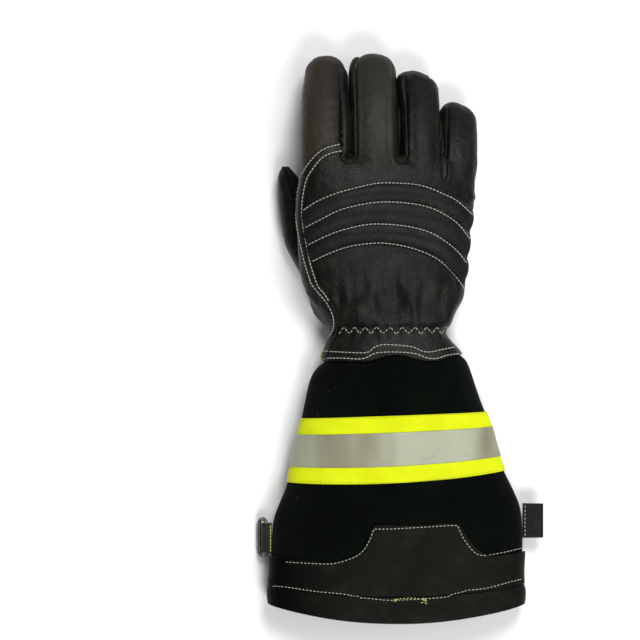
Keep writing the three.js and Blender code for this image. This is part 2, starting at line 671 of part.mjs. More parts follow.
// A layer laid on the cuff between two edges, each a function of how far across it is.
function cuffLayer(turnStops, rows, startAt, endAt, lift, thickness) {
  const place = (turn, v) => {
    const { across } = roundBox(turn);
    return [THREE.MathUtils.lerp(startAt(across), endAt(across), v), turn];
  };
  return sheet(
    turnStops, rows,
    (u, v) => cuffSkin(...place(u, v), lift + thickness),
    (u, v) => cuffSkin(...place(u, v), lift),
  );
}

const sideSlip = 0.7; // how far from the side seam a panel stops, in degrees
const slipEnds = (columns) => columns.map((column, i) => {
  const slip = (i === 0 ? sideSlip : 0) - (i === columns.length - 1 ? sideSlip : 0);
  return THREE.MathUtils.degToRad(column + slip);
});
const backTurns = slipEnds(backColumns);
const palmTurns = slipEnds(palmColumns);
const hemTop = cuffLength - hemBand;

function makeCuff() {
  for (const [name, turnStops] of [['cuff_back', backTurns], ['cuff_palm', palmTurns]]) {
    const start = () => -lapLength;
    const end = () => cuffLength;
    const shares = cuffStops.map((at) => (at + lapLength) / (cuffLength + lapLength));
    addPiece(name, cuffLayer(turnStops, shares, start, end, -cuffWall, cuffWall), suede);
  }
}

// The hem: a strip turned round the cuff's edge, seen in section as a U.
function makeHem() {
  const outside = layGap + skinWall;
  const inside = cuffWall + layGap + skinWall;
  const turnDown = layGap + skinWall;
  const profile = [
    { along: hemTop, outer: outside, inner: layGap },
    { along: hemTop + hemBand * 0.5, outer: outside + 0.5, inner: layGap },
    { along: cuffLength, outer: outside, inner: layGap, reach: turnDown },
    { along: cuffLength, outer: -inside, inner: -cuffWall - layGap, reach: turnDown },
    { along: hemTop + hemBand * 0.3, outer: -inside, inner: -cuffWall - layGap },
  ];
  for (const [name, turnStops, material] of [['hem_back', backTurns, leather], ['hem_palm', palmTurns, suede]]) {
    const rowAt = (v) => profile[Math.round(v * (profile.length - 1))];
    addPiece(name, sheet(
      turnStops, profile.length - 1,
      (turn, v) => cuffSkin(rowAt(v).along + (rowAt(v).reach ?? 0), turn, rowAt(v).outer),
      (turn, v) => cuffSkin(rowAt(v).along + (rowAt(v).reach ? layGap : 0), turn, rowAt(v).inner),
    ), material);
  }
}

// The leather guard above the hem on the back, with its raised middle.
function makeGuard() {
  const top = (across) => hemTop - guardReach * columnAt(guardEdge, 'rise', across);
  const end = () => hemTop - seamGap;
  const shoulders = [0.52, 0.46, -0.2, -0.26].map(turnAt);
  const turnStops = [...backTurns, ...shoulders].sort((a, b) => a - b);
  addPiece('cuff_guard', cuffLayer(turnStops, 3, top, end, 2 * layGap, skinWall), leather);
}

// The high-visibility tape across the back of the cuff and the reflective stripe on its middle.
function makeTape() {
  const edge = (share) => (across) => {
    const rise = (0.05 + 0.04 * share) * across + 0.07 * share * across * across;
    return tapeStart + tapeWidth * (share - rise);
  };
  const margin = (tapeWidth - stripeWidth) / 2 / tapeWidth;
  addPiece('hi_vis_tape', cuffLayer(backTurns, 3, edge(0), edge(1), layGap, tapeThickness), yellowTape);
  const stripeLift = layGap + tapeThickness + seamGap;
  const stripe = cuffLayer(backTurns, 2, edge(margin), edge(1 - margin), stripeLift, tapeThickness / 2);
  addPiece('reflective_stripe', stripe, silverTape);
}

// The half-moon patch on the palm side, under the wrist seam.
function makePatch() {
  const start = () => 6;
  const end = (across) => 7 + patchLength * Math.sqrt(Math.max(1 - (across / 0.87) ** 2, 0));
  const turnStops = palmTurns.slice(4, -4);
  addPiece('palm_patch', cuffLayer(turnStops, 3, start, end, 2 * layGap, skinWall), leather);
}

// The pull strap: a doubled leather strip sewn flat under the cuff, its folded end free.
function makeStrap() {
  const from = -0.04 * hemWidth;
  const to = 0.4 * hemWidth;
  const outline = (u, v) => [THREE.MathUtils.lerp(from, to, u), -strapFrom - v * strapWidth];
  const bulge = (u) => Math.min(1, 0.45 + 4 * u);
  addPiece('pull_strap', sheet(
    16, 3,
    (u, v) => new THREE.Vector3(...outline(u, v), 0),
    (u, v) => new THREE.Vector3(...outline(u, v), strapThickness * bulge(u)),
  ), leather);
}

// The folded tab at the little-finger seam, and the ring in its loop at the thumb seam.
const tabFrom = 0.565 * cuffLength;
function makeTab() {
  const root = cuffSkin(tabFrom + tabWidth / 2, 0);
  const box = new THREE.BoxGeometry(tabReach, tabWidth, tabThickness);
  box.translate(root.x + seamGap + tabReach / 2 + 0.25, root.y, root.z);
  addPiece('side_tab', box, leather);
}
function makeRing() {
  const middle = 0.706 * cuffLength;
  const root = cuffSkin(middle, Math.PI);
  const wire = ringWire / 2;
  const inner = seamGap + wire + 4.6;
  const hang = THREE.MathUtils.degToRad(ringHang);
  // reach runs outwards from the seam along the leaning ring, rise stands up from it.
  const leaning = (reach, y, rise) => new THREE.Vector3(
    root.x - reach * Math.cos(hang) - rise * Math.sin(hang),
    root.y + y,
    root.z - reach * Math.sin(hang) + rise * Math.cos(hang),
  );
  const outline = new THREE.Shape();
  const halfLength = ringLengthwise / 2 - wire;
  const corner = ringReach / 3;
  const reach = ringReach - ringWire;
  outline.moveTo(0, -halfLength + corner);
  outline.lineTo(0, halfLength - corner);
  outline.quadraticCurveTo(0, halfLength, -corner, halfLength);
  outline.lineTo(-reach + corner, halfLength);
  outline.quadraticCurveTo(-reach, halfLength, -reach, halfLength - corner);
  outline.lineTo(-reach, -halfLength + corner);
  outline.quadraticCurveTo(-reach, -halfLength, -reach + corner, -halfLength);
  outline.lineTo(-corner, -halfLength);
  outline.quadraticCurveTo(0, -halfLength, 0, -halfLength + corner);
  const path = outline.getSpacedPoints(24).slice(0, -1);
  const loops = path.map((point, k) => {
    const next = path[(k + 1) % path.length];
    const before = path[(k + path.length - 1) % path.length];
    const aside = new THREE.Vector2(next.y - before.y, before.x - next.x).normalize();
    return turns(6).map((turn) => leaning(
      inner - point.x - aside.x * wire * Math.cos(turn),
      point.y + aside.y * wire * Math.cos(turn),
      wire * Math.sin(turn),
    ));
  });
  addPiece('hang_ring', loft(loops, true), steel);

  const fold = wire + seamGap;
  const place = (u, v, out) => {
    const y = (v - 0.5) * loopWidth;
    const radius = fold + out;
    const sewnEnd = (rise) => (seamGap - rise * Math.sin(hang)) / Math.cos(hang);
    if (u < 0.01) return leaning(sewnEnd(radius), y, radius);
    if (u > 0.99) return leaning(sewnEnd(-radius), y, -radius);
    const turn = Math.PI / 2 + ((u - 0.125) / 0.75) * Math.PI;
    return leaning(inner - Math.cos(turn) * radius, y, Math.sin(turn) * radius);
  };
  addPiece('ring_loop', sheet(8, 1, (u, v) => place(u, v, skinWall * 1.5), (u, v) => place(u, v, 0)), leather);
}

makeHand();
makeSeamStrip();
makeKnucklePad();
makeCuff();
makeHem();
makeGuard();
makeTape();
makePatch();
makeStrap();
makeTab();
makeRing();

// The origin is on the floor under the middle of the glove's outline.
const bounds = new THREE.Box3().setFromObject(glove);
const middleOfGlove = bounds.getCenter(new THREE.Vector3());
glove.position.set(-middleOfGlove.x, -middleOfGlove.y, -bounds.min.z);

export default glove;
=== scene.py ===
import math
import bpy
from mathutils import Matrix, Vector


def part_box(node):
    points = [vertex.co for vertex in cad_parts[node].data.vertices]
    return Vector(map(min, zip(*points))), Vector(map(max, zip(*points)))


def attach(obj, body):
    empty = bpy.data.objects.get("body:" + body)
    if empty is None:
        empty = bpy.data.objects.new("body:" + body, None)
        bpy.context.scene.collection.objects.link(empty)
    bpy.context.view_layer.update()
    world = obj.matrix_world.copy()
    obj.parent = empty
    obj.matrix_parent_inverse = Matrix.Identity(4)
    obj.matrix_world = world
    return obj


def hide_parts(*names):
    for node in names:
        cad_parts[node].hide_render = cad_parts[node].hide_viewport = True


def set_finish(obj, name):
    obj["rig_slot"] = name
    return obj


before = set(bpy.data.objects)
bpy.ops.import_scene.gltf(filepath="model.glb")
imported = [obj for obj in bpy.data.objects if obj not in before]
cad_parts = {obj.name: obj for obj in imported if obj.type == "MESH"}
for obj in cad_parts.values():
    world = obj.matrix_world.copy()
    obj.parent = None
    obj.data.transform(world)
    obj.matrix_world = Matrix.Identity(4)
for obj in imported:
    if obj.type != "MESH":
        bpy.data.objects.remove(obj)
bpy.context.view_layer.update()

from types import SimpleNamespace

import bpy
import numpy as np
from mathutils import Vector, noise
from mathutils.bvhtree import BVHTree

# Sizes of the glove in millimetres, and shares of them. y is 0 at the wrist seam and grows to the fingertips.
size = SimpleNamespace(
    cuffLength=171.6, palmLength=133, palmWidth=118, wristWidth=81.5, hemWidth=171,
    knuckleHeight=54, wristHeight=32, cuffHeight=36, fingerWidth=30, fingerHeight=27,
    thumbWidth=31, thumbHeight=25, thumbLength=88, thumbRoot=0.3, fingerRoot=0.8,
    fingerTaper=0.95, tipRounding=0.42, handWall=2.4, cuffWall=2.2, hemBand=16,
    hemRise=10.8, tapeWidth=44, lapLength=8, lapWave=2.4, elasticAt=0.128,
    cuffBottom=-0.22, strapAt=0.653, strapWidth=25, strapLeft=-0.04, ringAt=0.706,
    roundness=2.6, gap=0.14,
)

# at, left, right, top, bottom, tilt: sections of the hand, as shares of the wrist's sizes, then of the palm's
wristTable = np.array([
    (0.005, -0.645, 0.512, 1.10, -0.19, 0), (0.045, -0.620, 0.469, 1.06, -0.19, 0),
    (0.090, -0.589, 0.409, 1.015, -0.19, 0), (0.128, -0.580, 0.375, 1.00, -0.19, 0),
    (0.165, -0.613, 0.405, 1.03, -0.16, 0),
])
palmTable = np.array([
    (0.225, -0.475, 0.304, 0.657, -0.08, 0), (0.300, -0.517, 0.325, 0.713, -0.04, -0.01),
    (0.385, -0.551, 0.341, 0.787, 0.035, -0.03), (0.475, -0.568, 0.350, 0.861, 0.14, -0.06),
    (0.595, -0.576, 0.362, 0.935, 0.25, -0.09), (0.730, -0.576, 0.380, 0.985, 0.35, -0.11),
    (0.840, -0.563, 0.402, 1.00, 0.405, -0.12), (0.930, -0.535, 0.416, 0.965, 0.43, -0.12),
    (0.975, -0.515, 0.418, 0.90, 0.48, -0.12), (1.000, -0.500, 0.415, 0.80, 0.57, -0.12),
])
handTable = np.concatenate([
    wristTable * (1, size.wristWidth, size.wristWidth, size.wristHeight, size.wristHeight, 1),
    palmTable * (1, size.palmWidth, size.palmWidth, size.knuckleHeight, size.knuckleHeight, 1),
])
# at, left, right, top: the sections of the cuff
cuffTable = np.array([
    (0.062, -0.345, 0.275, 0.95), (0.165, -0.370, 0.312, 0.97), (0.245, -0.386, 0.343, 0.98),
    (0.340, -0.407, 0.369, 0.98), (0.430, -0.427, 0.399, 0.985), (0.495, -0.442, 0.430, 0.99),
    (0.560, -0.468, 0.457, 1.0), (0.620, -0.489, 0.468, 1.0), (0.720, -0.498, 0.472, 1.0),
    (0.870, -0.501, 0.468, 1.0), (0.940, -0.505, 0.472, 1.01), (1.0, -0.505, 0.472, 1.02),
])
fingerTable = {
    "index": dict(length=63.7, baseX=-0.434, tipX=-0.426, width=1.0, height=0.985, baseZ=0.775,
                  roll=-4, skew=-0.1, seamLeft=-2, seamRight=0.77),
    "middle": dict(length=65.6, baseX=-0.137, tipX=-0.15, width=1.0, height=1.0, baseZ=0.72,
                   roll=0, skew=0.1, seamLeft=-0.84, seamRight=0.82),
    "ring": dict(length=53.9, baseX=0.116, tipX=0.1, width=0.88, height=0.95, baseZ=0.65,
                 roll=8, skew=0.4, seamLeft=-0.8, seamRight=0.93),
    "little": dict(length=32.5, baseX=0.302, tipX=0.32, width=0.8, height=0.88, baseZ=0.575,
                   roll=14, skew=0.5, seamLeft=-0.8, seamRight=2),
}
# at, x, y, z, girth, flat: the thumb's stations
thumbTable = np.array([
    (0.0, -0.37, 0.0, 0.62, 0.98, 1.1), (0.2, -0.43, 0.19, 0.55, 1.0, 1.06),
    (0.4, -0.515, 0.39, 0.5, 0.97, 1.0), (0.6, -0.56, 0.59, 0.47, 0.85, 0.95),
    (0.78, -0.602, 0.78, 0.45, 0.64, 0.86), (0.92, -0.635, 0.93, 0.42, 0.4, 0.66),
    (1.0, -0.647, 1.0, 0.4, 0.14, 0.3),
])
# at, across: the lapped seam on the back
backSeamTable = np.array([
    (-0.05, -0.955), (0.04, -0.945), (0.15, -0.824), (0.28, -0.723), (0.416, -0.844),
    (0.577, -0.914), (0.72, -0.948), (0.89, -0.94), (0.99, -0.85), (1.03, -0.62),
])
# at, rise: the guard's upper edge
guardTable = np.array([
    (-1, 0.443), (-0.9, 0.465), (-0.7, 0.454), (-0.5, 0.454), (-0.36, 0.539), (-0.26, 0.677), (-0.2, 0.953),
    (-0.14, 0.985), (0.15, 0.985), (0.46, 0.996), (0.52, 0.847), (0.6, 0.666), (0.72, 0.528), (0.85, 0.518),
    (1, 0.528),
])

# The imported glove's frame starts elsewhere: the strap's left end and top show by how much.
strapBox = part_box("pull_strap")
shift = np.array([
    strapBox[0].x * 1000 - size.strapLeft * size.hemWidth,
    strapBox[1].y * 1000 + size.strapAt * size.cuffLength,
    0.0,
])


# A table's column on a smooth curve through its rows.
def column(table, index, at):
    x, v = table[:, 0], table[:, index]
    at = np.asarray(at, float)
    before, after = np.maximum(np.arange(len(x)) - 1, 0), np.minimum(np.arange(len(x)) + 1, len(x) - 1)
    slope = (v[after] - v[before]) / (x[after] - x[before])
    k = np.clip(np.searchsorted(x, at) - 1, 0, len(x) - 2)
    span = x[k + 1] - x[k]
    t = (at - x[k]) / span
    rise = 3 * t**2 - 2 * t**3
    bend = slope[k] * (t**3 - 2 * t**2 + t) + slope[k + 1] * (t**3 - t**2)
    inside = v[k] * (1 - rise) + v[k + 1] * rise + span * bend
    past = v[k + 1] + slope[k + 1] * (t - 1) * span
    return np.where(t < 0, v[k] + slope[k] * t * span, np.where(t > 1, past, inside))


def bell(v, centre, width, power=2):
    return np.exp(-(((v - centre) / width) ** power))


# A soft step from 0 at low to 1 at high.
def smooth(v, low, high):
    t = np.clip((np.asarray(v, float) - low) / (high - low), 0, 1)
    return t * t * (3 - 2 * t)


# A rounded box of half size 1, and the turn at which its upper half reaches a place across.
def roundBox(turn, squareness=size.roundness):
    c, s = np.cos(turn), np.sin(turn)
    power = 2 / squareness
    return np.sign(c) * np.abs(c) ** power, np.sign(s) * np.abs(s) ** power


def turnAt(across):
    across = np.asarray(across, float)
    return np.arccos(np.sign(across) * np.abs(across) ** (size.roundness / 2))


# How far the wavy lap at the wrist moves a row of the hand or the cuff.
def lapShift(y, across):
    wave = np.where(across < -0.47, -1, np.cos(2 * np.pi * (across - 0.03)))
    return size.lapWave * wave * np.maximum(1 - np.abs(y) / (size.elasticAt * size.palmLength), 0)


def sectionPoint(left, right, top, bottom, tilt, y, turn, rest):
    across, up = roundBox(turn)
    middle = (left + right) / 2
    x = middle + across * (right - left) / 2
    z = (top + bottom) / 2 + tilt * (x - middle) + up * (top - bottom) / 2
    return np.stack([x, y + 0 * x, np.maximum(z, rest)], -1)


# The hand's skin at a height y and a turn, moved outwards.
def handSkin(y, turn, out=0.0):
    y, turn = np.broadcast_arrays(np.asarray(y, float), np.asarray(turn, float))
    at = y / size.palmLength
    values = [column(handTable, i, at) for i in range(1, 6)]
    edges = (values[0] - out, values[1] + out, values[2] + out, values[3] - out)
    p = sectionPoint(*edges, values[4], y, turn, np.maximum(-np.asarray(out), 0))
    p[..., 1] += lapShift(y, roundBox(turn)[0])
    return p


def handSection(y):
    return [column(handTable, i, y / size.palmLength) for i in range(1, 6)]


# along, left, right, top, bottom: sections of the cuff, with the lap inside the hand first.
def cuffRows():
    inset = size.handWall + 0.9
    bottomZ = size.cuffBottom * size.cuffHeight
    rows = []
    for along in (-size.lapLength, -1.5):
        left, right, top, bottom, _ = handSection(-along)
        rows.append((along, left + inset, right - inset, top - inset, bottom + inset))
    left, right, top, _, _ = handSection(0)
    rows.append((2.4, left - 1.2, right + 0.8, top - 0.6, bottomZ))
    for at, left, right, top in cuffTable:
        rows.append((
            at * size.cuffLength, left * size.hemWidth, right * size.hemWidth, top * size.cuffHeight, bottomZ,
        ))
    return np.array(rows, float)


cuffProfile = cuffRows()
strapMiddle = size.strapAt * size.cuffLength + 14.5


# The height the cuff rests at: on the surface, on the lap of the hand or on the strap.
def cuffRest(along, x):
    lap = (size.handWall + 0.9) * smooth(1 - along / (0.05 * size.cuffLength), 0, 1)
    near = 1 - smooth(np.abs(along - strapMiddle), 15.5, 20)
    onStrap = 3.45 * near * smooth(x, -0.12 * size.hemWidth, -0.05 * size.hemWidth)
    return np.maximum(np.maximum(2.1, lap), onStrap)


# Soft dents and swells of the suede.
def cuffSwell(along, turn):
    across = roundBox(turn)[0]
    fade = smooth(along, 6, 26) * np.clip(np.sin(turn), 0, 1)
    rolls = 0.75 * np.sin(along / 17.0 + 1.6 * across + 0.6) + 0.55 * np.sin(9.5 * across + along / 31.0)
    return fade * rolls * 0.8


# The cuff's skin at a distance from the wrist seam and a turn, moved outwards.
def cuffSkin(along, turn, out=0.0):
    along, turn = np.broadcast_arrays(np.asarray(along, float), np.asarray(turn, float))
    out = out + cuffSwell(along, turn)
    values = [column(cuffProfile, i, along) for i in range(1, 5)]
    edges = (values[0] - out, values[1] + out, values[2] + out, values[3] - out)
    p = sectionPoint(*edges, 0, -along, turn, 0)
    p[..., 2] = np.maximum(p[..., 2], cuffRest(along, p[..., 0]) - out)
    across = roundBox(turn)[0]
    bow = across**2 * np.maximum(along / size.cuffLength, 0) ** 4
    p[..., 1] += lapShift(-along, across) + size.hemRise * bow
    return p


# The length of a line up to each of its points.
def runAlong(points):
    return np.concatenate([[0], np.cumsum(np.linalg.norm(np.diff(points, axis=0), axis=1))])


# The line again, as a number of points at even distances.
def resample(points, count):
    run = runAlong(points)
    stations = np.linspace(0, run[-1], count)
    return np.stack([np.interp(stations, run, values) for values in points.T], -1)


# A finger's middle line and its direction.
def fingerCurve(f, t):
    tipY = size.palmLength + f["length"]
    rootY = size.fingerRoot * size.palmLength
    baseZ = f["baseZ"] * size.knuckleHeight
    bendX = f["baseX"] * 0.45 + f["tipX"] * 0.55
    a = np.array([f["baseX"] * size.palmWidth, rootY, baseZ])
    b = np.array([bendX * size.palmWidth, rootY + 0.55 * (tipY - rootY), baseZ + 0.09 * size.knuckleHeight])
    c = np.array([f["tipX"] * size.palmWidth, tipY, 0.44 * f["height"] * size.fingerHeight])
    t = np.asarray(t, float)[..., None]
    return (1 - t) ** 2 * a + 2 * t * (1 - t) * b + t**2 * c, 2 * (1 - t) * (b - a) + 2 * t * (c - b)


# A finger's skin: share runs along the finger, close rounds off its tip.
def fingerPoint(f, share, close, turn, out=0.0):
    share, close, turn = np.broadcast_arrays(*[np.asarray(v, float) for v in (share, close, turn)])
    fine = np.linspace(0, 1, 200)
    pts, _ = fingerCurve(f, fine)
    run = runAlong(pts)
    tipShare = size.tipRounding * size.fingerWidth / run[-1]
    lift = np.sin(close * np.pi / 2)
    place = np.clip(share * (1 - tipShare) + tipShare * lift, 0, 1)
    t = np.interp(place * run[-1], run, fine)
    centre, forward = fingerCurve(f, t)
    forward = forward / np.linalg.norm(forward, axis=-1, keepdims=True)
    right = np.stack([forward[..., 1], -forward[..., 0], 0 * forward[..., 0]], -1)
    right /= np.linalg.norm(right, axis=-1, keepdims=True)
    up = np.cross(right, forward)
    roll = math.radians(f["roll"])
    side = right * math.cos(roll) - up * math.sin(roll)
    over = right * math.sin(roll) + up * math.cos(roll)
    shrink = np.maximum(np.cos(close * np.pi / 2), 0) ** 0.75
    taper = 1 + (size.fingerTaper - 1) * place
    across, above = roundBox(turn, 2.5)
    halfW = f["width"] * size.fingerWidth * taper / 2 + out
    halfH = f["height"] * size.fingerHeight * taper / 2 + out
    p = centre + side * (across * halfW * shrink)[..., None]
    p = p + over * (above * halfH * shrink)[..., None]
    p = p - forward * (f["skew"] * across * halfW * lift * shrink)[..., None]
    p[..., 2] = np.maximum(p[..., 2], max(-out, 0))
    return p


# The thumb's skin at a share of its length and a turn, moved outwards.
def thumbPoint(share, turn, out=0.0):
    share, turn = np.broadcast_arrays(np.asarray(share, float), np.asarray(turn, float))
    x, y, z, girth, flat = [column(thumbTable, i, share) for i in range(1, 6)]
    across, up = roundBox(turn, 2.3)
    halfW = np.maximum(girth * size.thumbWidth / 2 + out, 0.6)
    halfH = np.maximum(flat * size.thumbHeight / 2 + out, 0.6)
    end = out * smooth(share, 0.7, 1)
    z = np.maximum(z * size.thumbHeight + up * halfH, np.maximum(-out, 0))
    alongY = size.thumbRoot * size.palmLength + y * size.thumbLength + end
    return np.stack([x * size.palmWidth + across * halfW, alongY, z], -1)


collection = bpy.context.scene.collection


def toWorld(points):
    return (np.asarray(points, float) + shift) / 1000


def newObject(name, vertices, faces):
    mesh = bpy.data.meshes.new(name)
    mesh.from_pydata([tuple(v) for v in vertices], [], [tuple(int(i) for i in f) for f in faces])
    mesh.polygons.foreach_set("use_smooth", [True] * len(mesh.polygons))
    mesh.update()
    obj = bpy.data.objects.new(name, mesh)
    collection.objects.link(obj)
    return obj


def gridFaces(rows, columns, first=0, closed=False):
    i, j = np.meshgrid(np.arange(rows - 1), np.arange(columns if closed else columns - 1), indexing="ij")
    a = first + i * columns + j
    b = first + i * columns + (j + 1) % columns
    c = first + (i + 1) * columns + (j + 1) % columns
    d = first + (i + 1) * columns + j
    return np.stack([a, b, c, d], -1).reshape(-1, 4)


# The faces, turned round if the closed mesh is inside out.
def outward(vertices, faces):
    v = np.asarray(vertices)
    quads = np.array([f if len(f) == 4 else (f[0], f[1], f[2], f[2]) for f in faces])
    a, b, c, d = (v[quads[:, i]] for i in range(4))
    volume = np.sum(a * np.cross(b, c)) + np.sum(a * np.cross(c, d))
    return [tuple(f[::-1]) for f in faces] if volume < 0 else [tuple(f) for f in faces]


# A closed solid through rings of points: shape (rings, sides, 3).
def loftObject(name, rings):
    rings = np.asarray(rings, float)
    count, sides = rings.shape[:2]
    faces = [tuple(f) for f in gridFaces(count, sides, closed=True)]
    vertices = np.concatenate([rings.reshape(-1, 3), rings[0].mean(0)[None], rings[-1].mean(0)[None]])
    low, high = count * sides, count * sides + 1
    for i in range(sides):
        j = (i + 1) % sides
        faces.append((low, j, i))
        faces.append((high, (count - 1) * sides + i, (count - 1) * sides + j))
    return newObject(name, toWorld(vertices), outward(vertices, faces))


# A closed sheet between two grids of points of the same shape.
def sheetObject(name, outer, inner):
    rows, columns = outer.shape[:2]
    vertices = np.concatenate([outer.reshape(-1, 3), inner.reshape(-1, 3)])
    faces = [tuple(f) for f in gridFaces(rows, columns)]
    layerSize = rows * columns
    faces += [tuple(f[::-1]) for f in gridFaces(rows, columns, first=layerSize)]
    rim = [(0, j) for j in range(columns)] + [(i, columns - 1) for i in range(1, rows)]
    rim += [(rows - 1, j) for j in range(columns - 2, -1, -1)]
    rim += [(i, 0) for i in range(rows - 2, 0, -1)]
    ids = [i * columns + j for i, j in rim]
    for a, b in zip(ids, ids[1:] + ids[:1]):
        faces.append((b, a, a + layerSize, b + layerSize))
    return newObject(name, toWorld(vertices), outward(vertices, faces))


def applyModifiers(obj):
    graph = bpy.context.evaluated_depsgraph_get()
    mesh = bpy.data.meshes.new_from_object(obj.evaluated_get(graph))
    obj.modifiers.clear()
    old = obj.data
    obj.data = mesh
    bpy.data.meshes.remove(old)
    return obj


def remesh(obj, voxel):
    modifier = obj.modifiers.new("remesh", "REMESH")
    modifier.mode = "VOXEL"
    modifier.voxel_size = voxel / 1000
    return applyModifiers(obj)


def cut(obj, other, operation):
    modifier = obj.modifiers.new("cut", "BOOLEAN")
    modifier.operation = operation
    modifier.object = other
    modifier.solver = "MANIFOLD"
    return applyModifiers(obj)


def copyOf(obj, name):
    new = bpy.data.objects.new(name, obj.data.copy())
    collection.objects.link(new)
    return new


def drop(*objects):
    for obj in objects:
        bpy.data.objects.remove(obj)


# Several meshes as one, without joining their surfaces.
def joined(name, objects):
    vertices, faces, first = [], [], 0
    for obj in objects:
        vertices.append(meshPoints(obj))
        faces += [tuple(i + first for i in p.vertices) for p in obj.data.polygons]
        first += len(obj.data.vertices)
    drop(*objects)
    return newObject(name, np.concatenate(vertices), faces)


def meshPoints(obj):
    points = np.empty(len(obj.data.vertices) * 3)
    obj.data.vertices.foreach_get("co", points)
    return points.reshape(-1, 3)


def meshNormals(obj):
    normals = np.empty(len(obj.data.vertices) * 3, np.float32)
    obj.data.vertex_normals.foreach_get("vector", normals)
    return normals.reshape(-1, 3).astype(float)


def setPoints(obj, points):
    obj.data.vertices.foreach_set("co", np.asarray(points, np.float32).ravel())
    obj.data.update()


# Evens out a mesh by moving each vertex towards its neighbours.
def relax(obj, steps, amount=0.5):
    edges = np.empty(len(obj.data.edges) * 2, np.int64)
    obj.data.edges.foreach_get("vertices", edges)
    a, b = edges.reshape(-1, 2).T
    points = meshPoints(obj)
    degree = np.bincount(a, minlength=len(points)) + np.bincount(b, minlength=len(points))
    for _ in range(steps):
        total = np.zeros_like(points)
        for axis in range(3):
            total[:, axis] = np.bincount(a, points[b, axis], len(points))
            total[:, axis] += np.bincount(b, points[a, axis], len(points))
        points += amount * (total / degree[:, None] - points)
    setPoints(obj, points)


def fieldNoise(points, scale, seed=0.0):
    return np.array([noise.noise(Vector(p)) for p in points * scale + (seed, 0, 0)])


def surfaceTree(*objects):
    vertices, faces, first = [], [], 0
    for obj in objects:
        vertices += [v.co.copy() for v in obj.data.vertices]
        faces += [tuple(i + first for i in p.vertices) for p in obj.data.polygons]
        first += len(obj.data.vertices)
    return BVHTree.FromPolygons(vertices, faces)


# The camera looks straight down; the stitch tables hold where each row is seen in a view 640 wide.
viewSettings = dict(x=-53.3, y=26.0, height=2000.0, scale=1.5, centre=320.0)
cameraPlace = Vector(((viewSettings["x"] + shift[0]) / 1000, (viewSettings["y"] + shift[1]) / 1000, 2.0))


# The place on a surface that is seen at x, y, and the normal there.
def seenOn(tree, x, y):
    s = viewSettings
    target = Vector((
        ((x - s["centre"]) / s["scale"] + s["x"] + shift[0]) / 1000,
        ((s["centre"] - y) / s["scale"] + s["y"] + shift[1]) / 1000,
        0.0,
    ))
    ray = (target - cameraPlace).normalized()
    place, normal = tree.ray_cast(cameraPlace, ray)[:2]
    if place is None:
        place, normal, _, away = tree.find_nearest(target - ray * 0.016)
        if away > 0.006:
            return None, None
    return place, normal


# A smooth line through points, sampled at even steps.
def evenLine(points, step):
    p = np.asarray(points, float)
    p = np.concatenate([2 * p[:1] - p[1:2], p, 2 * p[-1:] - p[-2:-1]])
    fine = []
    for k in range(1, len(p) - 2):
        t = np.linspace(0, 1, 16, endpoint=False)[:, None]
        a, b, c, d = p[k - 1:k + 3]
        curve = (2 * a - 5 * b + 4 * c - d) * t**2 + (3 * b - a - 3 * c + d) * t**3
        fine.append(0.5 * (2 * b + (c - a) * t + curve))
    fine = np.concatenate(fine + [p[-2:-1]])
    return resample(fine, max(int(round(runAlong(fine)[-1] / step)), 1) + 1)


# The distance of points from a line.
def lineDistance(points, line):
    best = np.full(len(points), np.inf)
    for a, b in zip(line[:-1], line[1:]):
        edge = b - a
        t = np.clip((points - a) @ edge / max(edge @ edge, 1e-12), 0, 1)
        best = np.minimum(best, np.linalg.norm(points - a - t[:, None] * edge, axis=1))
    return best


# Which points lie inside an outline.
def insideOutline(xy, outline):
    inside = np.zeros(len(xy), bool)
    for (ax, ay), (bx, by) in zip(outline, np.roll(outline, -1, axis=0)):
        crosses = (ay > xy[:, 1]) != (by > xy[:, 1])
        at = ax + (xy[:, 1] - ay) / (by - ay + 1e-12) * (bx - ax)
        inside ^= crosses & (xy[:, 0] < at)
    return inside


# The largest of a mesh's loose parts.
def keepLargest(obj):
    mesh = obj.data
    edges = np.empty(len(mesh.edges) * 2, np.int64)
    mesh.edges.foreach_get("vertices", edges)
    a, b = edges.reshape(-1, 2).T
    labels = np.arange(len(mesh.vertices))
    while True:
        before = labels.copy()
        low = np.minimum(labels[a], labels[b])
        np.minimum.at(labels, a, low)
        np.minimum.at(labels, b, low)
        labels = labels[labels]
        if (labels == before).all():
            break
    wanted = labels == np.bincount(labels).argmax()
    if wanted.all():
        return obj
    points = meshPoints(obj)
    index = np.cumsum(wanted) - 1
    faces = [tuple(index[i] for i in p.vertices) for p in mesh.polygons if wanted[p.vertices[0]]]
    new = newObject(obj.name + "_kept", points[wanted], faces)
    name = obj.name
    drop(obj)
    new.name = name
    return new


# Upright solid over an outline seen from above.
def prism(outline, low=-30.0, high=130.0):
    outline = np.asarray(outline, float)
    count = len(outline)
    vertices = np.concatenate([np.column_stack([outline, np.full(count, z)]) for z in (low, high)])
    faces = [tuple(range(count)), tuple(range(2 * count - 1, count - 1, -1))]
    faces += [(i, i + count, (i + 1) % count + count, (i + 1) % count) for i in range(count)]
    x, y = outline.T
    if np.sum(x * np.roll(y, -1) - y * np.roll(x, -1)) > 0:
        faces = [f[::-1] for f in faces]
    return newObject("cutter", toWorld(vertices), faces)


fingerList = list(fingerTable.values())
# Where each gap between two fingers ends
crotches = np.array([1.01, 1.01, 0.925]) * size.palmLength


# A seam along a finger, seen from above.
def seamLine(f, seam, inset):
    turn = math.acos(math.copysign(abs(seam) ** 1.25, seam)) if abs(seam) <= 1 else 0
    stops = [(s, 0) for s in np.linspace(0.28, 1, 24)] + [(1, c) for c in (0.15, 0.3, 0.45, 0.6, 0.7)]
    p = np.array([fingerPoint(f, s, c, turn) for s, c in stops])
    return p[:, :2] + np.array([inset, 0])


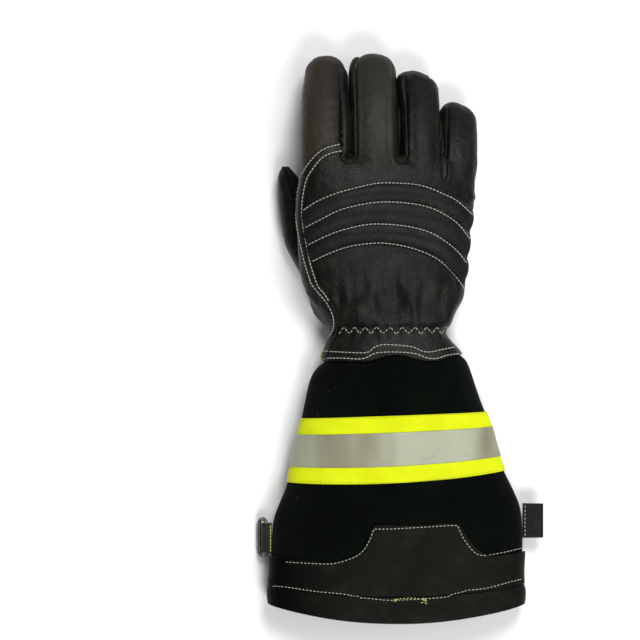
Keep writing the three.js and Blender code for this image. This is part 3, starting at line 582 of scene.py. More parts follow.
# The strip between finger k and the next, seen from above.
def stripOutline(k, grow):
    left = seamLine(fingerList[k], fingerList[k]["seamRight"], -grow)
    right = seamLine(fingerList[k + 1], fingerList[k + 1]["seamLeft"], grow)
    left, right = left[left[:, 1] > crotches[k]], right[right[:, 1] > crotches[k]]
    foot = np.array([(left[0, 0] + right[0, 0]) / 2, crotches[k] - size.fingerWidth * 0.22 - grow])
    width = (right[0, 0] - left[0, 0]) / 2
    depth = crotches[k] - foot[1]
    turns = np.linspace(0.25, math.pi - 0.25, 9)
    bowl = [foot + (-width * math.cos(a), depth * (1 - math.sin(a))) for a in turns]
    apex = np.array([(left[-1, 0] + right[-1, 0]) / 2, size.palmLength + 130])
    return np.concatenate([np.array(bowl), right, apex[None], left[::-1]])


# Where the back and the palm meet: through the palm's middle, then through the fingers' middle lines.
def partingHeight(x, y):
    x, y = np.broadcast_arrays(np.asarray(x, float), np.asarray(y, float))
    left, right, top, bottom, tilt = handSection(np.minimum(y, size.palmLength))
    palm = (top + bottom) / 2 + tilt * (x - (left + right) / 2)
    centres = []
    for f in fingerList:
        pts, _ = fingerCurve(f, np.linspace(0, 1, 60))
        end = pts[-1] + (pts[-1] - pts[-2]) * 10
        pts = np.concatenate([pts[:1] - (pts[1:2] - pts[:1]) * 60, pts, end[None]])
        centres.append((np.interp(y, pts[:, 1], pts[:, 0]), np.interp(y, pts[:, 1], pts[:, 2])))
    height = np.zeros_like(x)
    for k in range(3):
        share = np.clip((x - centres[k][0]) / (centres[k + 1][0] - centres[k][0]), 0, 1)
        value = centres[k][1] * (1 - share) + centres[k + 1][1] * share
        height = np.where((x > centres[k][0]) | (k == 0), value, height)
    blend = smooth(y, 0.8 * size.palmLength, size.palmLength)
    longest = fingerTable["middle"]["length"]
    lower = 0.2 * size.fingerHeight * smooth(y, size.palmLength, size.palmLength + longest)
    return palm * (1 - blend) + height * blend - lower


# A solid over everything above the parting.
def aboveParting(lift):
    top = size.palmLength + 1.5 * fingerTable["middle"]["length"]
    u, v = np.meshgrid(np.linspace(-1, 1, 90), np.linspace(-0.2 * size.palmLength, top, 130), indexing="ij")
    x = u * size.palmWidth
    low = np.stack([x, v, partingHeight(x, v) + lift], -1)
    high = np.stack([x, v, np.full_like(x, 120.0)], -1)
    return sheetObject("cutter", high, low)


# The lapped seam on the back, seen from above.
def backSeamLine(offset, count=90):
    at = np.linspace(-0.05, 1.03, count)
    left, right = handSection(np.minimum(at, 1) * size.palmLength)[:2]
    across = column(backSeamTable, 1, at)
    points = np.stack([(left + right) / 2 + across * (right - left) / 2, at * size.palmLength], -1)
    step = np.gradient(points, axis=0)
    normal = np.stack([-step[:, 1], step[:, 0]], -1)
    return points + offset * normal / np.linalg.norm(normal, axis=1, keepdims=True)


# The back panel, seen from above.
def backOutline(offset):
    line = backSeamLine(offset)
    index, following = fingerList[:2]
    edges = seamLine(index, index["seamRight"], 0), seamLine(following, following["seamLeft"], 0)
    middle = (edges[0][8, 0] + edges[1][8, 0]) / 2
    far = size.palmLength + 132
    return np.concatenate([line, [[middle, far], [size.palmWidth, far], [size.palmWidth, line[0, 1]]]])


pieces = {}


# Names a finished piece and says what it stands for.
def keep(obj, name, replaced, slot):
    obj.name = name
    obj.data.name = name
    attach(obj, "root")
    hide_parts(*replaced)
    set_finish(obj, slot)
    pieces[name] = obj
    return obj


handSettings = dict(
    voxel=1.15, innerVoxel=2.0, groove=0.8, grooveWidth=0.7, lip=1.0, lipAt=1.8, lipWidth=1.1, recess=0.7,
    puckerPitch=7.8, pucker=0.4, fold=2.8, elastic=1.1, elasticY=19.5, dents=0.6, creases=0.2, fuller=2.2,
    sewnRows=(2.6, 6.8),
)
# How far the strips bulge towards each other: left and right at the foot of the gap, then at the tips
stripBulge = [(4.1, 1.9, 1.3, 3.9), (0.7, 1.3, 0.6, 2.0), (0.7, 0.7, 0.7, 0.9)]
# How far each strip fills out the left shoulder of the fingertip beside it
shoulders = [-1.1, 1.4, 0.4]

stripNames = ["index_middle", "middle_ring", "ring_little"]
allTurns = np.linspace(0, 2 * np.pi, 120, endpoint=False)
fingerTurns = np.linspace(0, 2 * np.pi, 56, endpoint=False)


def handTube(name, stops, out):
    return loftObject(name, [handSkin(y, allTurns, out) for y in stops])


def fingerTube(name, f, out):
    closing = np.linspace(0.08, 0.985, 14) if out == 0 else np.linspace(0.1, 0.6, 6)
    stops = [(s, 0) for s in np.linspace(0, 1, 26)] + [(1, c) for c in closing]
    return loftObject(name, [fingerPoint(f, s, c, fingerTurns, out) for s, c in stops])


def thumbTube(name, out):
    return loftObject(name, [thumbPoint(s, fingerTurns, out) for s in np.linspace(0, 1, 70)])


# The quilting rows over the knuckles, from the fingers to the wrist, as the camera sees them.
quiltRows = [
    [
        (303, 210.5), (318, 201), (339, 192.5), (364, 186), (382, 183), (411, 184), (426, 187), (440, 192.5),
        (457, 201), (473, 215),
    ],
    [
        (305, 227.6), (318, 221), (339, 210.5), (359.5, 205), (380, 202), (403, 202.6), (424, 206),
        (440, 212), (457, 223), (470, 239),
    ],
    [
        (308, 245), (326.5, 236), (343, 230), (364, 225), (380, 224), (405, 226), (426, 231), (442, 239),
        (457, 251), (466.6, 263),
    ],
    [
        (312, 261.5), (326.5, 254.5), (347, 247), (368, 243.6), (384, 243), (407, 246.7), (428, 254),
        (444, 264), (457, 278), (464.5, 289),
    ],
]
quiltCurves = []


# Fits a curve over the hand to each row, the last row first.
def traceQuilt(tree):
    for row in quiltRows[::-1]:
        seen = [seenOn(tree, x, y)[0] for x, y in evenLine(row, 4.0)]
        points = np.array([tuple(p) for p in seen if p]) * 1000 - shift
        across = acrossOf(points)
        order = np.argsort(across)
        fit = np.polyfit(across[order], points[order, 1], 5)
        quiltCurves.append((fit, across.min(), across.max()))


def quiltY(row, across):
    fit, low, high = quiltCurves[row]
    slope = np.polyder(fit)
    inside = np.clip(across, low, high)
    return np.polyval(fit, inside) + (across - inside) * np.polyval(slope, inside)


# How far across the hand points lie, from -1 to 1.
def acrossOf(points):
    left, right = handSection(np.clip(points[:, 1], 0, size.palmLength))[:2]
    return np.clip((points[:, 0] - (left + right) / 2) / ((right - left) / 2), -1, 1)


# Grooves and raised edges along strip k, and the strip's bulge towards its neighbour.
def stripRelief(k, p, n):
    s = handSettings
    outline = stripOutline(k, 0)
    apex = int(outline[:, 1].argmax())
    lengths = fingerList[k]["length"], fingerList[k + 1]["length"]
    d = lineDistance(p[:, :2], np.concatenate([outline[apex + 1:], outline[:apex]]))
    inside = insideOutline(p[:, :2], outline)
    flat = smooth(np.abs(n[:, 2]), 0.15, 0.5) * (1 - smooth(n[:, 1], 0.3, 0.7))
    tips = size.palmLength + np.where(p[:, 0] < outline[apex, 0], *lengths)
    lip = s["lip"] * bell(d, s["lipAt"], s["lipWidth"]) * (1 - smooth(p[:, 1], tips - 14, tips - 5))
    face = np.where(inside, -s["recess"] * smooth(d, 0, 1.6), lip)
    relief = flat * (face - s["groove"] * bell(d, 0, s["grooveWidth"]))

    facesRight = n[:, 0] > 0
    ends = size.palmLength + np.where(facesRight, min(lengths) - 3, lengths[1] + 6)
    reach = smooth(p[:, 1], crotches[k] - 6, crotches[k] + 1) * (1 - smooth(p[:, 1], ends - 8, ends))
    low = np.where(facesRight, stripBulge[k][0], stripBulge[k][1])
    high = np.where(facesRight, stripBulge[k][2], stripBulge[k][3])
    push = low + (high - low) * smooth(p[:, 1], ends - 40, ends - 12)
    push *= smooth(np.abs(n[:, 0]), 0.3, 0.85)
    own = size.palmLength + lengths[1]
    push += shoulders[k] * smooth(-n[:, 0], 0.25, 0.7) * smooth(p[:, 1], own - 22, own - 8)
    return relief + inside * push * reach


# The drawn-in elastic, the gathers in it and the folds above it.
def wristFolds(p):
    s = handSettings
    y = p[:, 1]
    pucker = np.cos(2 * np.pi * (p[:, 0] - 1.5) / s["puckerPitch"])
    gathers = s["pucker"] * pucker * bell(y, s["elasticY"], 5.0) - s["elastic"] * bell(y, s["elasticY"], 3.0)
    stretched = p * (1, 0.28, 1)
    folds = fieldNoise(stretched, 0.075, 4.0) + 0.45 * fieldNoise(stretched, 0.17, 9.0)
    return gathers + s["fold"] * folds * bell(y, 36, 17.0) * smooth(y, 15, 24)


# Seams, folds, dents and creases of the whole hand.
def shapeHand(obj):
    s = handSettings
    p = meshPoints(obj) * 1000 - shift
    n = meshNormals(obj)
    amount = sum(stripRelief(k, p, n) for k in range(3)) + wristFolds(p)
    tip = size.palmLength + fingerList[0]["length"]
    leftOfIndex = p[:, 0] < fingerList[0]["tipX"] * size.palmWidth
    amount -= leftOfIndex * smooth(-n[:, 0], 0.1, 0.7) * smooth(p[:, 1], tip - 23, tip - 8)

    rise = p[:, 2] - partingHeight(p[:, 0], p[:, 1])
    across = acrossOf(p)
    beyond = p[:, 1] - quiltY(3, across)
    fromLast = p[:, 1] - quiltY(0, across)
    ridge = smooth(beyond, -5, -2) * 1.35 * np.exp(-np.maximum(beyond, 0) / 14.0)
    amount += ridge * smooth(across, -0.97, -0.8) * smooth(-across, -0.97, -0.8) * smooth(rise, 1, 9)
    side = smooth(n[:, 0], 0.3, 0.8) * (p[:, 0] > 0.2 * size.palmWidth)
    amount += s["fuller"] * side * smooth(beyond, 15, 3) * smooth(fromLast, -22, 2)
    amount += 1.1 * side * (p[:, 0] > 0.33 * size.palmWidth) * smooth(beyond, 18, 38)
    amount -= 0.8 * side * bell(rise, 0, 0.8)

    covered = (rise > 0) & (beyond < 2) & (fromLast > -4)
    calm = np.where(covered, 0.1, 1.0)
    amount += calm * s["dents"] * fieldNoise(p, 0.045, 2.0)
    amount += calm * s["creases"] * (0.5 - np.abs(fieldNoise(p, 0.16, 7.0)) * 2)
    p += n * amount[:, None]
    y = p[:, 1]
    row = y - lapShift(y, across)
    rest = 0.55 * sum(bell(row, at, 1.0) for at in s["sewnRows"]) + 0.7 * bell(row, s["elasticY"], 4.2, 4)
    p[:, 2] = np.maximum(p[:, 2], np.where(y < 30, rest, 0))
    setPoints(obj, toWorld(p))
    relax(obj, 1, 0.3)


# The hand's shell, cut into the back, the palm and the strips, with the thumb beside it.
def makeHand():
    s = handSettings
    stops = np.linspace(0.005, 1, 90) * size.palmLength
    tubes = [handTube("hand", stops, 0)] + [fingerTube("finger", f, 0) for f in fingerList]
    outer = joined("hand_outer", tubes)
    remesh(outer, s["voxel"])
    relax(outer, 3)
    traceQuilt(surfaceTree(outer))
    shapeHand(outer)
    innerStops = np.linspace(-0.1, 0.98, 50) * size.palmLength
    wall = -size.handWall
    hollows = [handTube("hand", innerStops, wall)] + [fingerTube("finger", f, wall) for f in fingerList]
    inner = joined("hand_inner", hollows + [thumbTube("thumb", wall)])
    remesh(inner, s["innerVoxel"])
    shell = copyOf(outer, "shell")
    cut(shell, inner, "DIFFERENCE")
    print("hand shell", len(shell.data.polygons), "faces")

    wide = [prism(stripOutline(k, size.gap)) for k in range(3)]
    narrow = [prism(stripOutline(k, 0)) for k in range(3)]
    region = prism(backOutline(0))
    upper = aboveParting(0)
    cut(region, upper, "INTERSECT")
    back = copyOf(shell, "back_panel")
    cut(back, region, "INTERSECT")
    taken = prism(backOutline(size.gap))
    upperWide = aboveParting(-size.gap)
    cut(taken, upperWide, "INTERSECT")
    palm = copyOf(shell, "palm_panel")
    cut(palm, taken, "DIFFERENCE")
    for strip in wide:
        cut(back, strip, "DIFFERENCE")
        cut(palm, strip, "DIFFERENCE")
    keep(keepLargest(back), "back_leather", ["back_panel"], "leather")
    keep(keepLargest(palm), "palm_leather", ["palm_panel"], "leather")
    for name, strip in zip(stripNames, narrow):
        piece = copyOf(shell, name)
        cut(piece, strip, "INTERSECT")
        keep(keepLargest(piece), name + "_leather", [name + "_strip"], "leather")

    thumb = thumbTube("thumb_solid", 0)
    remesh(thumb, 1.0)
    relax(thumb, 2)
    shapeThumb(thumb)
    hollow = thumbTube("thumb_hollow", wall)
    cut(thumb, hollow, "DIFFERENCE")
    grown = copyOf(outer, "grown")
    setPoints(grown, meshPoints(grown) + meshNormals(grown) * size.gap / 1000)
    cut(thumb, grown, "DIFFERENCE")
    keep(keepLargest(thumb), "thumb_leather", ["thumb"], "leather")
    drop(shell, inner, hollow, grown, region, taken, upper, upperWide, *wide, *narrow)
    return outer


# across, up: the seam on the thumb
thumbSeam = [(-0.647, 1.0), (-0.62, 0.86), (-0.585, 0.7), (-0.54, 0.5), (-0.5, 0.3)]


# The thumb's seam and its dents.
def shapeThumb(obj):
    p = meshPoints(obj) * 1000 - shift
    n = meshNormals(obj)
    line = np.array(thumbSeam) * (size.palmWidth, size.thumbLength) + (0, size.thumbRoot * size.palmLength)
    d = lineDistance(p[:, :2], evenLine(line, 2.0))
    top = smooth(n[:, 2], -0.1, 0.4)
    amount = top * (0.6 * bell(d, 1.7, 1.1) - 0.9 * bell(d, 0, 0.8))
    amount += 0.45 * fieldNoise(p, 0.06, 3.0) + 0.1 * (0.5 - np.abs(fieldNoise(p, 0.2, 5.0)) * 2)
    p += n * amount[:, None]
    p[:, 2] = np.maximum(p[:, 2], 0)
    setPoints(obj, toWorld(p))


handOuter = makeHand()
print("hand done")


# The lapped seam: where its outer row of stitches is seen, from the index finger to the wrist.
bindingRow = [
    (341, 144), (328.5, 147), (318, 153), (309, 164), (303, 175), (299.6, 189), (298, 205), (298, 218),
    (299.6, 232), (303, 249), (306, 263), (310, 276), (314, 286), (321, 294), (328.5, 304.5), (334, 315),
    (334.7, 323), (332.7, 333), (327.5, 342), (322, 350), (319, 359),
]
bindingSettings = dict(margin=1.0, lift=0.4, thickness=1.1, pinch=0.3, merge=0.72)
# share of the seam's length, distance between its two rows of stitches there
bindingWidths = [(0, 4.9), (0.16, 4.3), (0.3, 3.2), (0.62, 2.9), (0.74, 2.0), (1, 1.7)]


# A row seen by the camera, at even steps over the surface.
def flatLine(tree, row, step):
    seen = [seenOn(tree, x, y)[0] for x, y in evenLine(row, 3.0)]
    points = np.array([(p.x, p.y, p.z) for p in seen if p]) * 1000 - shift
    return evenLine(points, step)


# A line moved sideways, seen from above.
def offsetLine(line, offset):
    offset = np.broadcast_to(offset, len(line))[:, None]
    step = np.gradient(line[:, :2], axis=0)
    normal = np.stack([-step[:, 1], step[:, 0]], -1)
    moved = line.copy()
    moved[:, :2] += offset * normal / np.maximum(np.linalg.norm(normal, axis=1, keepdims=True), 1e-9)
    return moved


# The strip over the lapped seam, pressed in along its two rows, which it returns.
def makeBinding(outer):
    s = bindingSettings
    tree = surfaceTree(outer)
    line = flatLine(tree, bindingRow, 1.0)
    shares = np.linspace(0, 1, 13)
    spacing = np.interp(np.linspace(0, 1, len(line)), *np.array(bindingWidths).T)
    width = spacing + 2 * s["margin"]
    rows, normals = [], []
    for share in shares:
        row = offsetLine(line, -s["margin"] + share * width)
        found = []
        for p in row:
            place = Vector((p + shift) / 1000)
            hit = tree.ray_cast(Vector((place.x, place.y, 0.2)), Vector((0, 0, -1)))
            close = hit[0] and abs(hit[0].z * 1000 - p[2]) < 14
            found.append(hit if close else tree.find_nearest(place))
        rows.append(np.array([tuple(f[0]) for f in found]) * 1000 - shift)
        normals.append(np.array([tuple(f[1]) for f in found]))
    rows, normals = np.array(rows), np.array(normals)
    kernel = np.ones(7) / 7
    for grid in (rows, normals):
        for i in range(len(grid)):
            for axis in range(3):
                padded = np.pad(grid[i, :, axis], 3, mode="edge")
                grid[i, :, axis] = np.convolve(padded, kernel, "valid")
    normals /= np.linalg.norm(normals, axis=-1, keepdims=True)
    across = shares[:, None] * width[None]
    rounded = np.minimum(1, np.sin(np.pi * np.clip(shares, 0.02, 0.98)) * 3.2)[:, None]
    press = sum(bell(across, at, 0.7) for at in (s["margin"], width[None] - s["margin"]))
    top = s["lift"] + s["thickness"] * rounded - s["pinch"] * press * rounded
    piece = sheetObject("seam_binding", rows + normals * top[..., None], rows + normals * 0.1)
    keep(piece, "seam_binding", ["back_seam_strip"], "leather")
    above = rows + normals * (top + 0.6)[..., None]
    columns = np.arange(len(line))
    outerRow = above[np.argmin(np.abs(across - s["margin"]), axis=0), columns]
    innerRow = above[np.argmin(np.abs(across - spacing - s["margin"]), axis=0), columns]
    return [outerRow, innerRow[: int(s["merge"] * len(line))]]


bindingLines = makeBinding(handOuter)

padSettings = dict(
    ribs=3, lift=0.35, skin=1.2, rib=2.5, fullness=0.72, rim=0.02, flange=1.4, columns=170, rows=100,
)


# Three padded ribs between the quilting rows, from the lapped seam to the little finger's side.
def makePad():
    s = padSettings
    u, v = np.meshgrid(np.linspace(0, 1, s["columns"]), np.linspace(0, 1, s["rows"]), indexing="ij")
    ribs, rim = s["ribs"], s["rim"]

    def rowY(v, across):
        k = np.minimum((v * ribs).astype(int), ribs - 1)
        share = v * ribs - k
        ys = np.array([quiltY(i, across) for i in range(ribs + 1)])
        low = np.take_along_axis(ys, k[None], 0)[0]
        high = np.take_along_axis(ys, (k + 1)[None], 0)[0]
        return low * (1 - share) + high * share

    seam = column(backSeamTable, 1, rowY(v, np.full_like(v, -0.92)) / size.palmLength) + 0.035
    turn = 0.1 * np.pi * (1 - u) + turnAt(np.maximum(seam, -0.995)) * u
    across = roundBox(turn)[0]
    overlap = np.clip((v - 1 + rim) / rim, 0, 1) - np.clip((rim - v) / rim, 0, 1)
    v = np.clip((v - rim) / (1 - 2 * rim), 0, 1)
    y = rowY(v, across) + s["flange"] * overlap
    base = handSkin(y, turn, 0)
    normal = handSkin(y, turn, 1) - base
    normal /= np.linalg.norm(normal, axis=-1, keepdims=True)
    ends = smooth(u, 0, rim) * smooth(1 - u, 0, rim)
    swell = np.abs(np.sin(np.pi * v * ribs))
    puff = swell ** s["fullness"] * (0.25 + 0.75 * ends)
    crimp = 0.16 * np.sin(turn * 62 + 3 * np.sin(v * 9)) * np.exp(-swell * 4)
    flat = np.stack([turn * 40, y, 0 * y], -1).reshape(-1, 3)
    soft = 0.3 * fieldNoise(flat, 0.07, 5.0).reshape(u.shape)
    top = s["lift"] + s["skin"] + s["rib"] * puff + (crimp + soft * puff) - 0.5 * np.abs(overlap)
    base = base + normal * (handSettings["fuller"] * smooth(normal[..., 0], 0.3, 0.8))[..., None]
    outer = base + normal * top[..., None]
    inner = base + normal * (s["lift"] - 0.25)
    piece = sheetObject("knuckle_ribs", outer, inner)
    keep(piece, "knuckle_ribs", ["knuckle_pad"], "rib_leather")


makePad()
print("binding and ribs done")

cuffSettings = dict(columns=190, rows=150, slip=0.7)
hemTop = size.cuffLength - size.hemBand
hemSettings = dict(lift=0.45, thickness=1.2, bulge=0.55, turned=0.3, rowAt=2.0)
sideTurns = {
    "back": np.radians([cuffSettings["slip"], 180 - cuffSettings["slip"]]),
    "palm": np.radians([180 + cuffSettings["slip"], 360 - cuffSettings["slip"]]),
}


# A layer sewn on the cuff between two edges, pressed in and crimped along its stitches.
def layer(name, turns, startAt, endAt, s):
    u, v = np.meshgrid(np.linspace(*turns, s["columns"]), np.linspace(0, 1, s["rows"]), indexing="ij")
    across = roundBox(u)[0]
    start, end = startAt(across), endAt(across)
    along = start + (end - start) * v
    edge = np.minimum((along - start), (end - along))
    rim = 1 - 0.4 * bell(edge, 0, 0.5)
    press = s["crimp"] * 2.2 * bell(edge, 1.9, 1.0)
    crimp = s["crimp"] * np.sin(u * 150 + along * 0.3) * bell(edge, 1.9, 2.4)
    top = s["lift"] + s["thickness"] * rim - press + crimp
    return sheetObject(name, cuffSkin(along, u, top), cuffSkin(along, u, s["lift"]))


def makeCuff():
    s = cuffSettings
    for side, turns in sideTurns.items():
        rows = np.linspace(-size.lapLength, size.cuffLength, s["rows"])
        u, v = np.meshgrid(np.linspace(*turns, s["columns"]), rows, indexing="ij")
        piece = sheetObject("cuff", cuffSkin(v, u, 0), cuffSkin(v, u, -size.cuffWall))
        keep(piece, side + "_suede", ["cuff_" + side], "suede")
        profile = hemProfile()
        u, k = np.meshgrid(np.linspace(*turns, s["columns"]), np.arange(len(profile)), indexing="ij")
        along, outer, ringOut, ringAlong = (profile[:, i][k] for i in range(4))
        wave = 0.1 * np.sin(u * 140) * bell(along, hemTop + hemSettings["rowAt"], 2.5) * (outer > 0)
        press = 0.35 * bell(along, hemTop + hemSettings["rowAt"], 1.1) * (outer > 0)
        piece = sheetObject("hem", cuffSkin(along, u, outer + wave - press), cuffSkin(ringAlong, u, ringOut))
        keep(piece, side + "_hem", ["hem_" + side], "patch_leather" if side == "back" else "suede")


# The hem in section, a U round the cuff's edge: outer face, then the face next to the cuff.
def hemProfile():
    s = hemSettings
    middle, lift, edge = -size.cuffWall / 2, s["lift"], size.cuffLength
    inner = lift - middle
    outer = inner + s["thickness"]
    rows = []
    for share in np.linspace(0, 1, 22):
        along = hemTop + share * size.hemBand
        bulge = s["bulge"] * math.sin(math.pi * share) ** 0.8
        rounded = 0.45 * math.exp(-share * 40)
        rows.append((along, middle + outer + bulge - rounded, lift, along))
    for turn in np.linspace(0, math.pi, 15)[1:-1]:
        away, out = math.sin(turn), math.cos(turn)
        past = lift + s["thickness"]
        rows.append((edge + past * away, middle + outer * out, middle + inner * out, edge + lift * away))
    for share in np.linspace(1, s["turned"], 8):
        along = hemTop + share * size.hemBand
        rows.append((along, middle - outer, middle - inner, along))
    return np.array(rows)


makeCuff()


tapeSettings = dict(
    start=36.7, slant=0.05, spread=0.04, bow=0.07,
    lift=0.45, thickness=0.7, columns=200, rows=40, crimp=0.10,
)
stripeSettings = dict(lift=1.35, thickness=0.35, columns=200, rows=24, crimp=0.05)
guardSettings = dict(rise=3 * size.hemBand, lift=0.8, thickness=1.2, columns=220, rows=50, crimp=0.12)
patchSettings = dict(
    start=6, reach=48, reachFrom=7, halfWidth=0.87, rowFrom=4.6, rowHalfWidth=0.84,
    lift=0.8, thickness=1.2, columns=140, rows=50, crimp=0.12,
)


# An edge of the tape at a share of its width.
def tapeEdge(share):
    s = tapeSettings

    def edge(across):
        lean = (s["slant"] + s["spread"] * share) * across + s["bow"] * share * across**2
        return s["start"] + size.tapeWidth * (share - lean)

    return edge


def guardTop(across):
    return hemTop - guardSettings["rise"] * column(guardTable, 1, across)


# An edge or a row at one distance from the wrist seam.
def level(along):
    return lambda across: along + 0 * across


# A half-moon over the palm patch.
def patchArc(across, start, halfWidth):
    return start + patchSettings["reach"] * np.sqrt(np.maximum(1 - (across / halfWidth) ** 2, 0))


def patchEnd(across):
    return patchArc(across, patchSettings["reachFrom"], patchSettings["halfWidth"])


patchTurns = np.radians([216, 324])
layerPieces = [
    ("tape_cloth", sideTurns["back"], tapeEdge(0), tapeEdge(1), tapeSettings, "hi_vis_tape", "hi_vis"),
    (
        "silver_stripe", sideTurns["back"], tapeEdge(0.25), tapeEdge(0.75), stripeSettings,
        "reflective_stripe", "reflective",
    ),
    (
        "guard_leather", sideTurns["back"], guardTop, level(hemTop - 0.3), guardSettings,
        "cuff_guard", "patch_leather",
    ),
    (
        "patch_leather", patchTurns, level(patchSettings["start"]), patchEnd, patchSettings,
        "palm_patch", "patch_leather",
    ),
]
for name, turns, startAt, endAt, settings, node, slotName in layerPieces:
    keep(layer(name, turns, startAt, endAt, settings), name, [node], slotName)
print("cuff done")


strapSettings = dict(
    left=size.strapLeft * size.hemWidth, right=0.4 * size.hemWidth, top=-size.strapAt * size.cuffLength,
    thickness=3.0, sewnRows=(2.2, 22.8),
)


# The strap lies under the cuff, folded at its left end.
def makeStrap():
    s = strapSettings
    length = s["right"] - s["left"]
    xs = np.concatenate([[0, 0.15, 0.5, 1.1], np.linspace(2, length - 1, 70), [length]])
    grid = []
    for v in np.linspace(0, 1, 34):
        row = []
        down = v * size.strapWidth
        edge = min(1.0, 0.45 + 10 * min(v, 1 - v))
        press = 0.3 * sum(bell(down, at, 0.9) for at in s["sewnRows"])
        for dx in xs:
            fold = min(1.0, math.sqrt(max(dx, 0.02) / 3.0)) * (1 - 0.12 * bell(dx, 6, 5))
            row.append((s["left"] + dx, s["top"] - down, max(s["thickness"] * fold * edge - press, 0.5)))
        grid.append(row)
    outer = np.array(grid)
    inner = outer * (1, 1, 0) + (0, 0, 0.35)
    keep(sheetObject("strap", outer, inner), "strap_leather", ["pull_strap"], "leather")


makeStrap()


tabSettings = dict(rounded=0.06, tip=14, sides=40, overlap=0.4, slack=0.16)


# The tab stands out from the side seam, a little slack in its middle.
def makeTab():
    s = tabSettings
    lo, hi = [np.array(v) * 1000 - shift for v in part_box("side_tab")]
    shares = np.concatenate([np.linspace(0, 1, 26), 1 + np.sin(np.linspace(0.2, 1.5, 6)) * s["rounded"]])
    across, up = roundBox(np.linspace(0, 2 * np.pi, s["sides"], endpoint=False), 8)
    length, width, height = hi - lo
    middle = (lo + hi) / 2
    rings = []
    for share in shares:
        along, past = min(share, 1), max(share - 1, 0)
        half = height / 2 * math.sqrt(max(1 - (past / s["rounded"]) ** 2 * 0.9, 0.05))
        slack = 1 + s["slack"] * math.sin(math.pi * along)
        rings.append(np.stack([
            np.full(s["sides"], lo[0] + along * (length + s["overlap"]) + past * s["tip"]),
            middle[1] + across * width / 2 * (1 - 0.012 * share),
            middle[2] + up * half * slack,
        ], -1))
    keep(loftObject("tab", rings), "tab_leather", ["side_tab"], "leather")


makeTab()


ringSettings = dict(
    hang=50, wire=1.3, inside=4.6, halfHeight=13.5, width=10, clearance=0.3,
    loopWidth=19.5, loopThickness=1.7,
)


# The ring leans out of its loop in the thumb side seam.
def makeRing():
    s = ringSettings
    root = cuffSkin(size.ringAt * size.cuffLength, np.pi)
    hang = math.radians(s["hang"])
    wire = s["wire"]
    inner = s["clearance"] + wire + s["inside"]

    def leaning(reach, y, rise):
        reach, y, rise = np.broadcast_arrays(reach, y, rise)
        out = -reach * math.cos(hang) - rise * math.sin(hang)
        up = -reach * math.sin(hang) + rise * math.cos(hang)
        return root + np.stack([out, y + 0.0, up], -1)

    halfLength, corner, reach = s["halfHeight"] - wire, s["width"] / 3, s["width"] - 2 * wire
    corners = [
        (-corner, halfLength - corner, 0), (-reach + corner, halfLength - corner, 90),
        (-reach + corner, -halfLength + corner, 180), (-corner, -halfLength + corner, 270),
    ]
    path = []
    for cx, cy, start in corners:
        for a in np.radians(np.linspace(start, start + 90, 9)):
            path.append((cx + corner * math.cos(a), cy + corner * math.sin(a)))
    path = np.array(path)
    step = np.roll(path, -1, 0) - np.roll(path, 1, 0)
    aside = np.stack([step[:, 1], -step[:, 0]], -1) / np.linalg.norm(step, axis=1, keepdims=True)
    angles = np.linspace(0, 2 * np.pi, 20, endpoint=False)
    swing, rise = wire * np.cos(angles), wire * np.sin(angles)
    rings = np.array([
        leaning(inner - p[0] - a[0] * swing, p[1] + a[1] * swing, rise) for p, a in zip(path, aside)
    ])
    count, sides = rings.shape[:2]
    vertices = rings.reshape(-1, 3)
    faces = [tuple(f) for f in gridFaces(count + 1, sides, closed=True) % (count * sides)]
    ring = newObject("ring", toWorld(vertices), outward(vertices, faces))
    keep(ring, "nickel_ring", ["hang_ring"], "steel")

    u, v = np.meshgrid(np.linspace(0, 1, 44), np.linspace(-0.5, 0.5, 26), indexing="ij")

    def loopFace(out):
        radius = wire + s["clearance"] + out
        turn = np.pi / 2 + np.clip((u - 0.25) / 0.5, 0, 1) * np.pi
        flat = np.minimum(np.minimum(u, 1 - u) / 0.25, 1)
        rise = np.sin(turn) * radius
        sewn = (0.35 - rise * math.sin(hang)) / math.cos(hang)
        return leaning(sewn + (inner - sewn) * flat - np.cos(turn) * radius, v * s["loopWidth"], rise)

    loop = sheetObject("loop", loopFace(s["loopThickness"]), loopFace(0.0))
    keep(loop, "loop_leather", ["ring_loop"], "leather")


makeRing()
print("strap, tab and ring done")


# A shader value that can be used in sums.
class Value:
    def __init__(self, shade, socket):
        self.shade, self.socket = shade, socket

    def __add__(self, other):
        return self.shade.math("ADD", self, other)

    def __sub__(self, other):
        return self.shade.math("SUBTRACT", self, other)

    def __rsub__(self, other):
        return self.shade.math("SUBTRACT", other, self)

    def __mul__(self, other):
        return self.shade.math("MULTIPLY", self, other)

    __radd__, __rmul__ = __add__, __mul__

    def sine(self):
        return self.shade.math("SINE", self)

    def clip(self, low, high):
        return self.shade.math("MINIMUM", self.shade.math("MAXIMUM", self, low), high)

    def step(self, low, high):
        sockets = {"Value": self, "From Min": low, "From Max": high}
        return self.shade.node("ShaderNodeMapRange", {"interpolation_type": "SMOOTHSTEP"}, sockets)


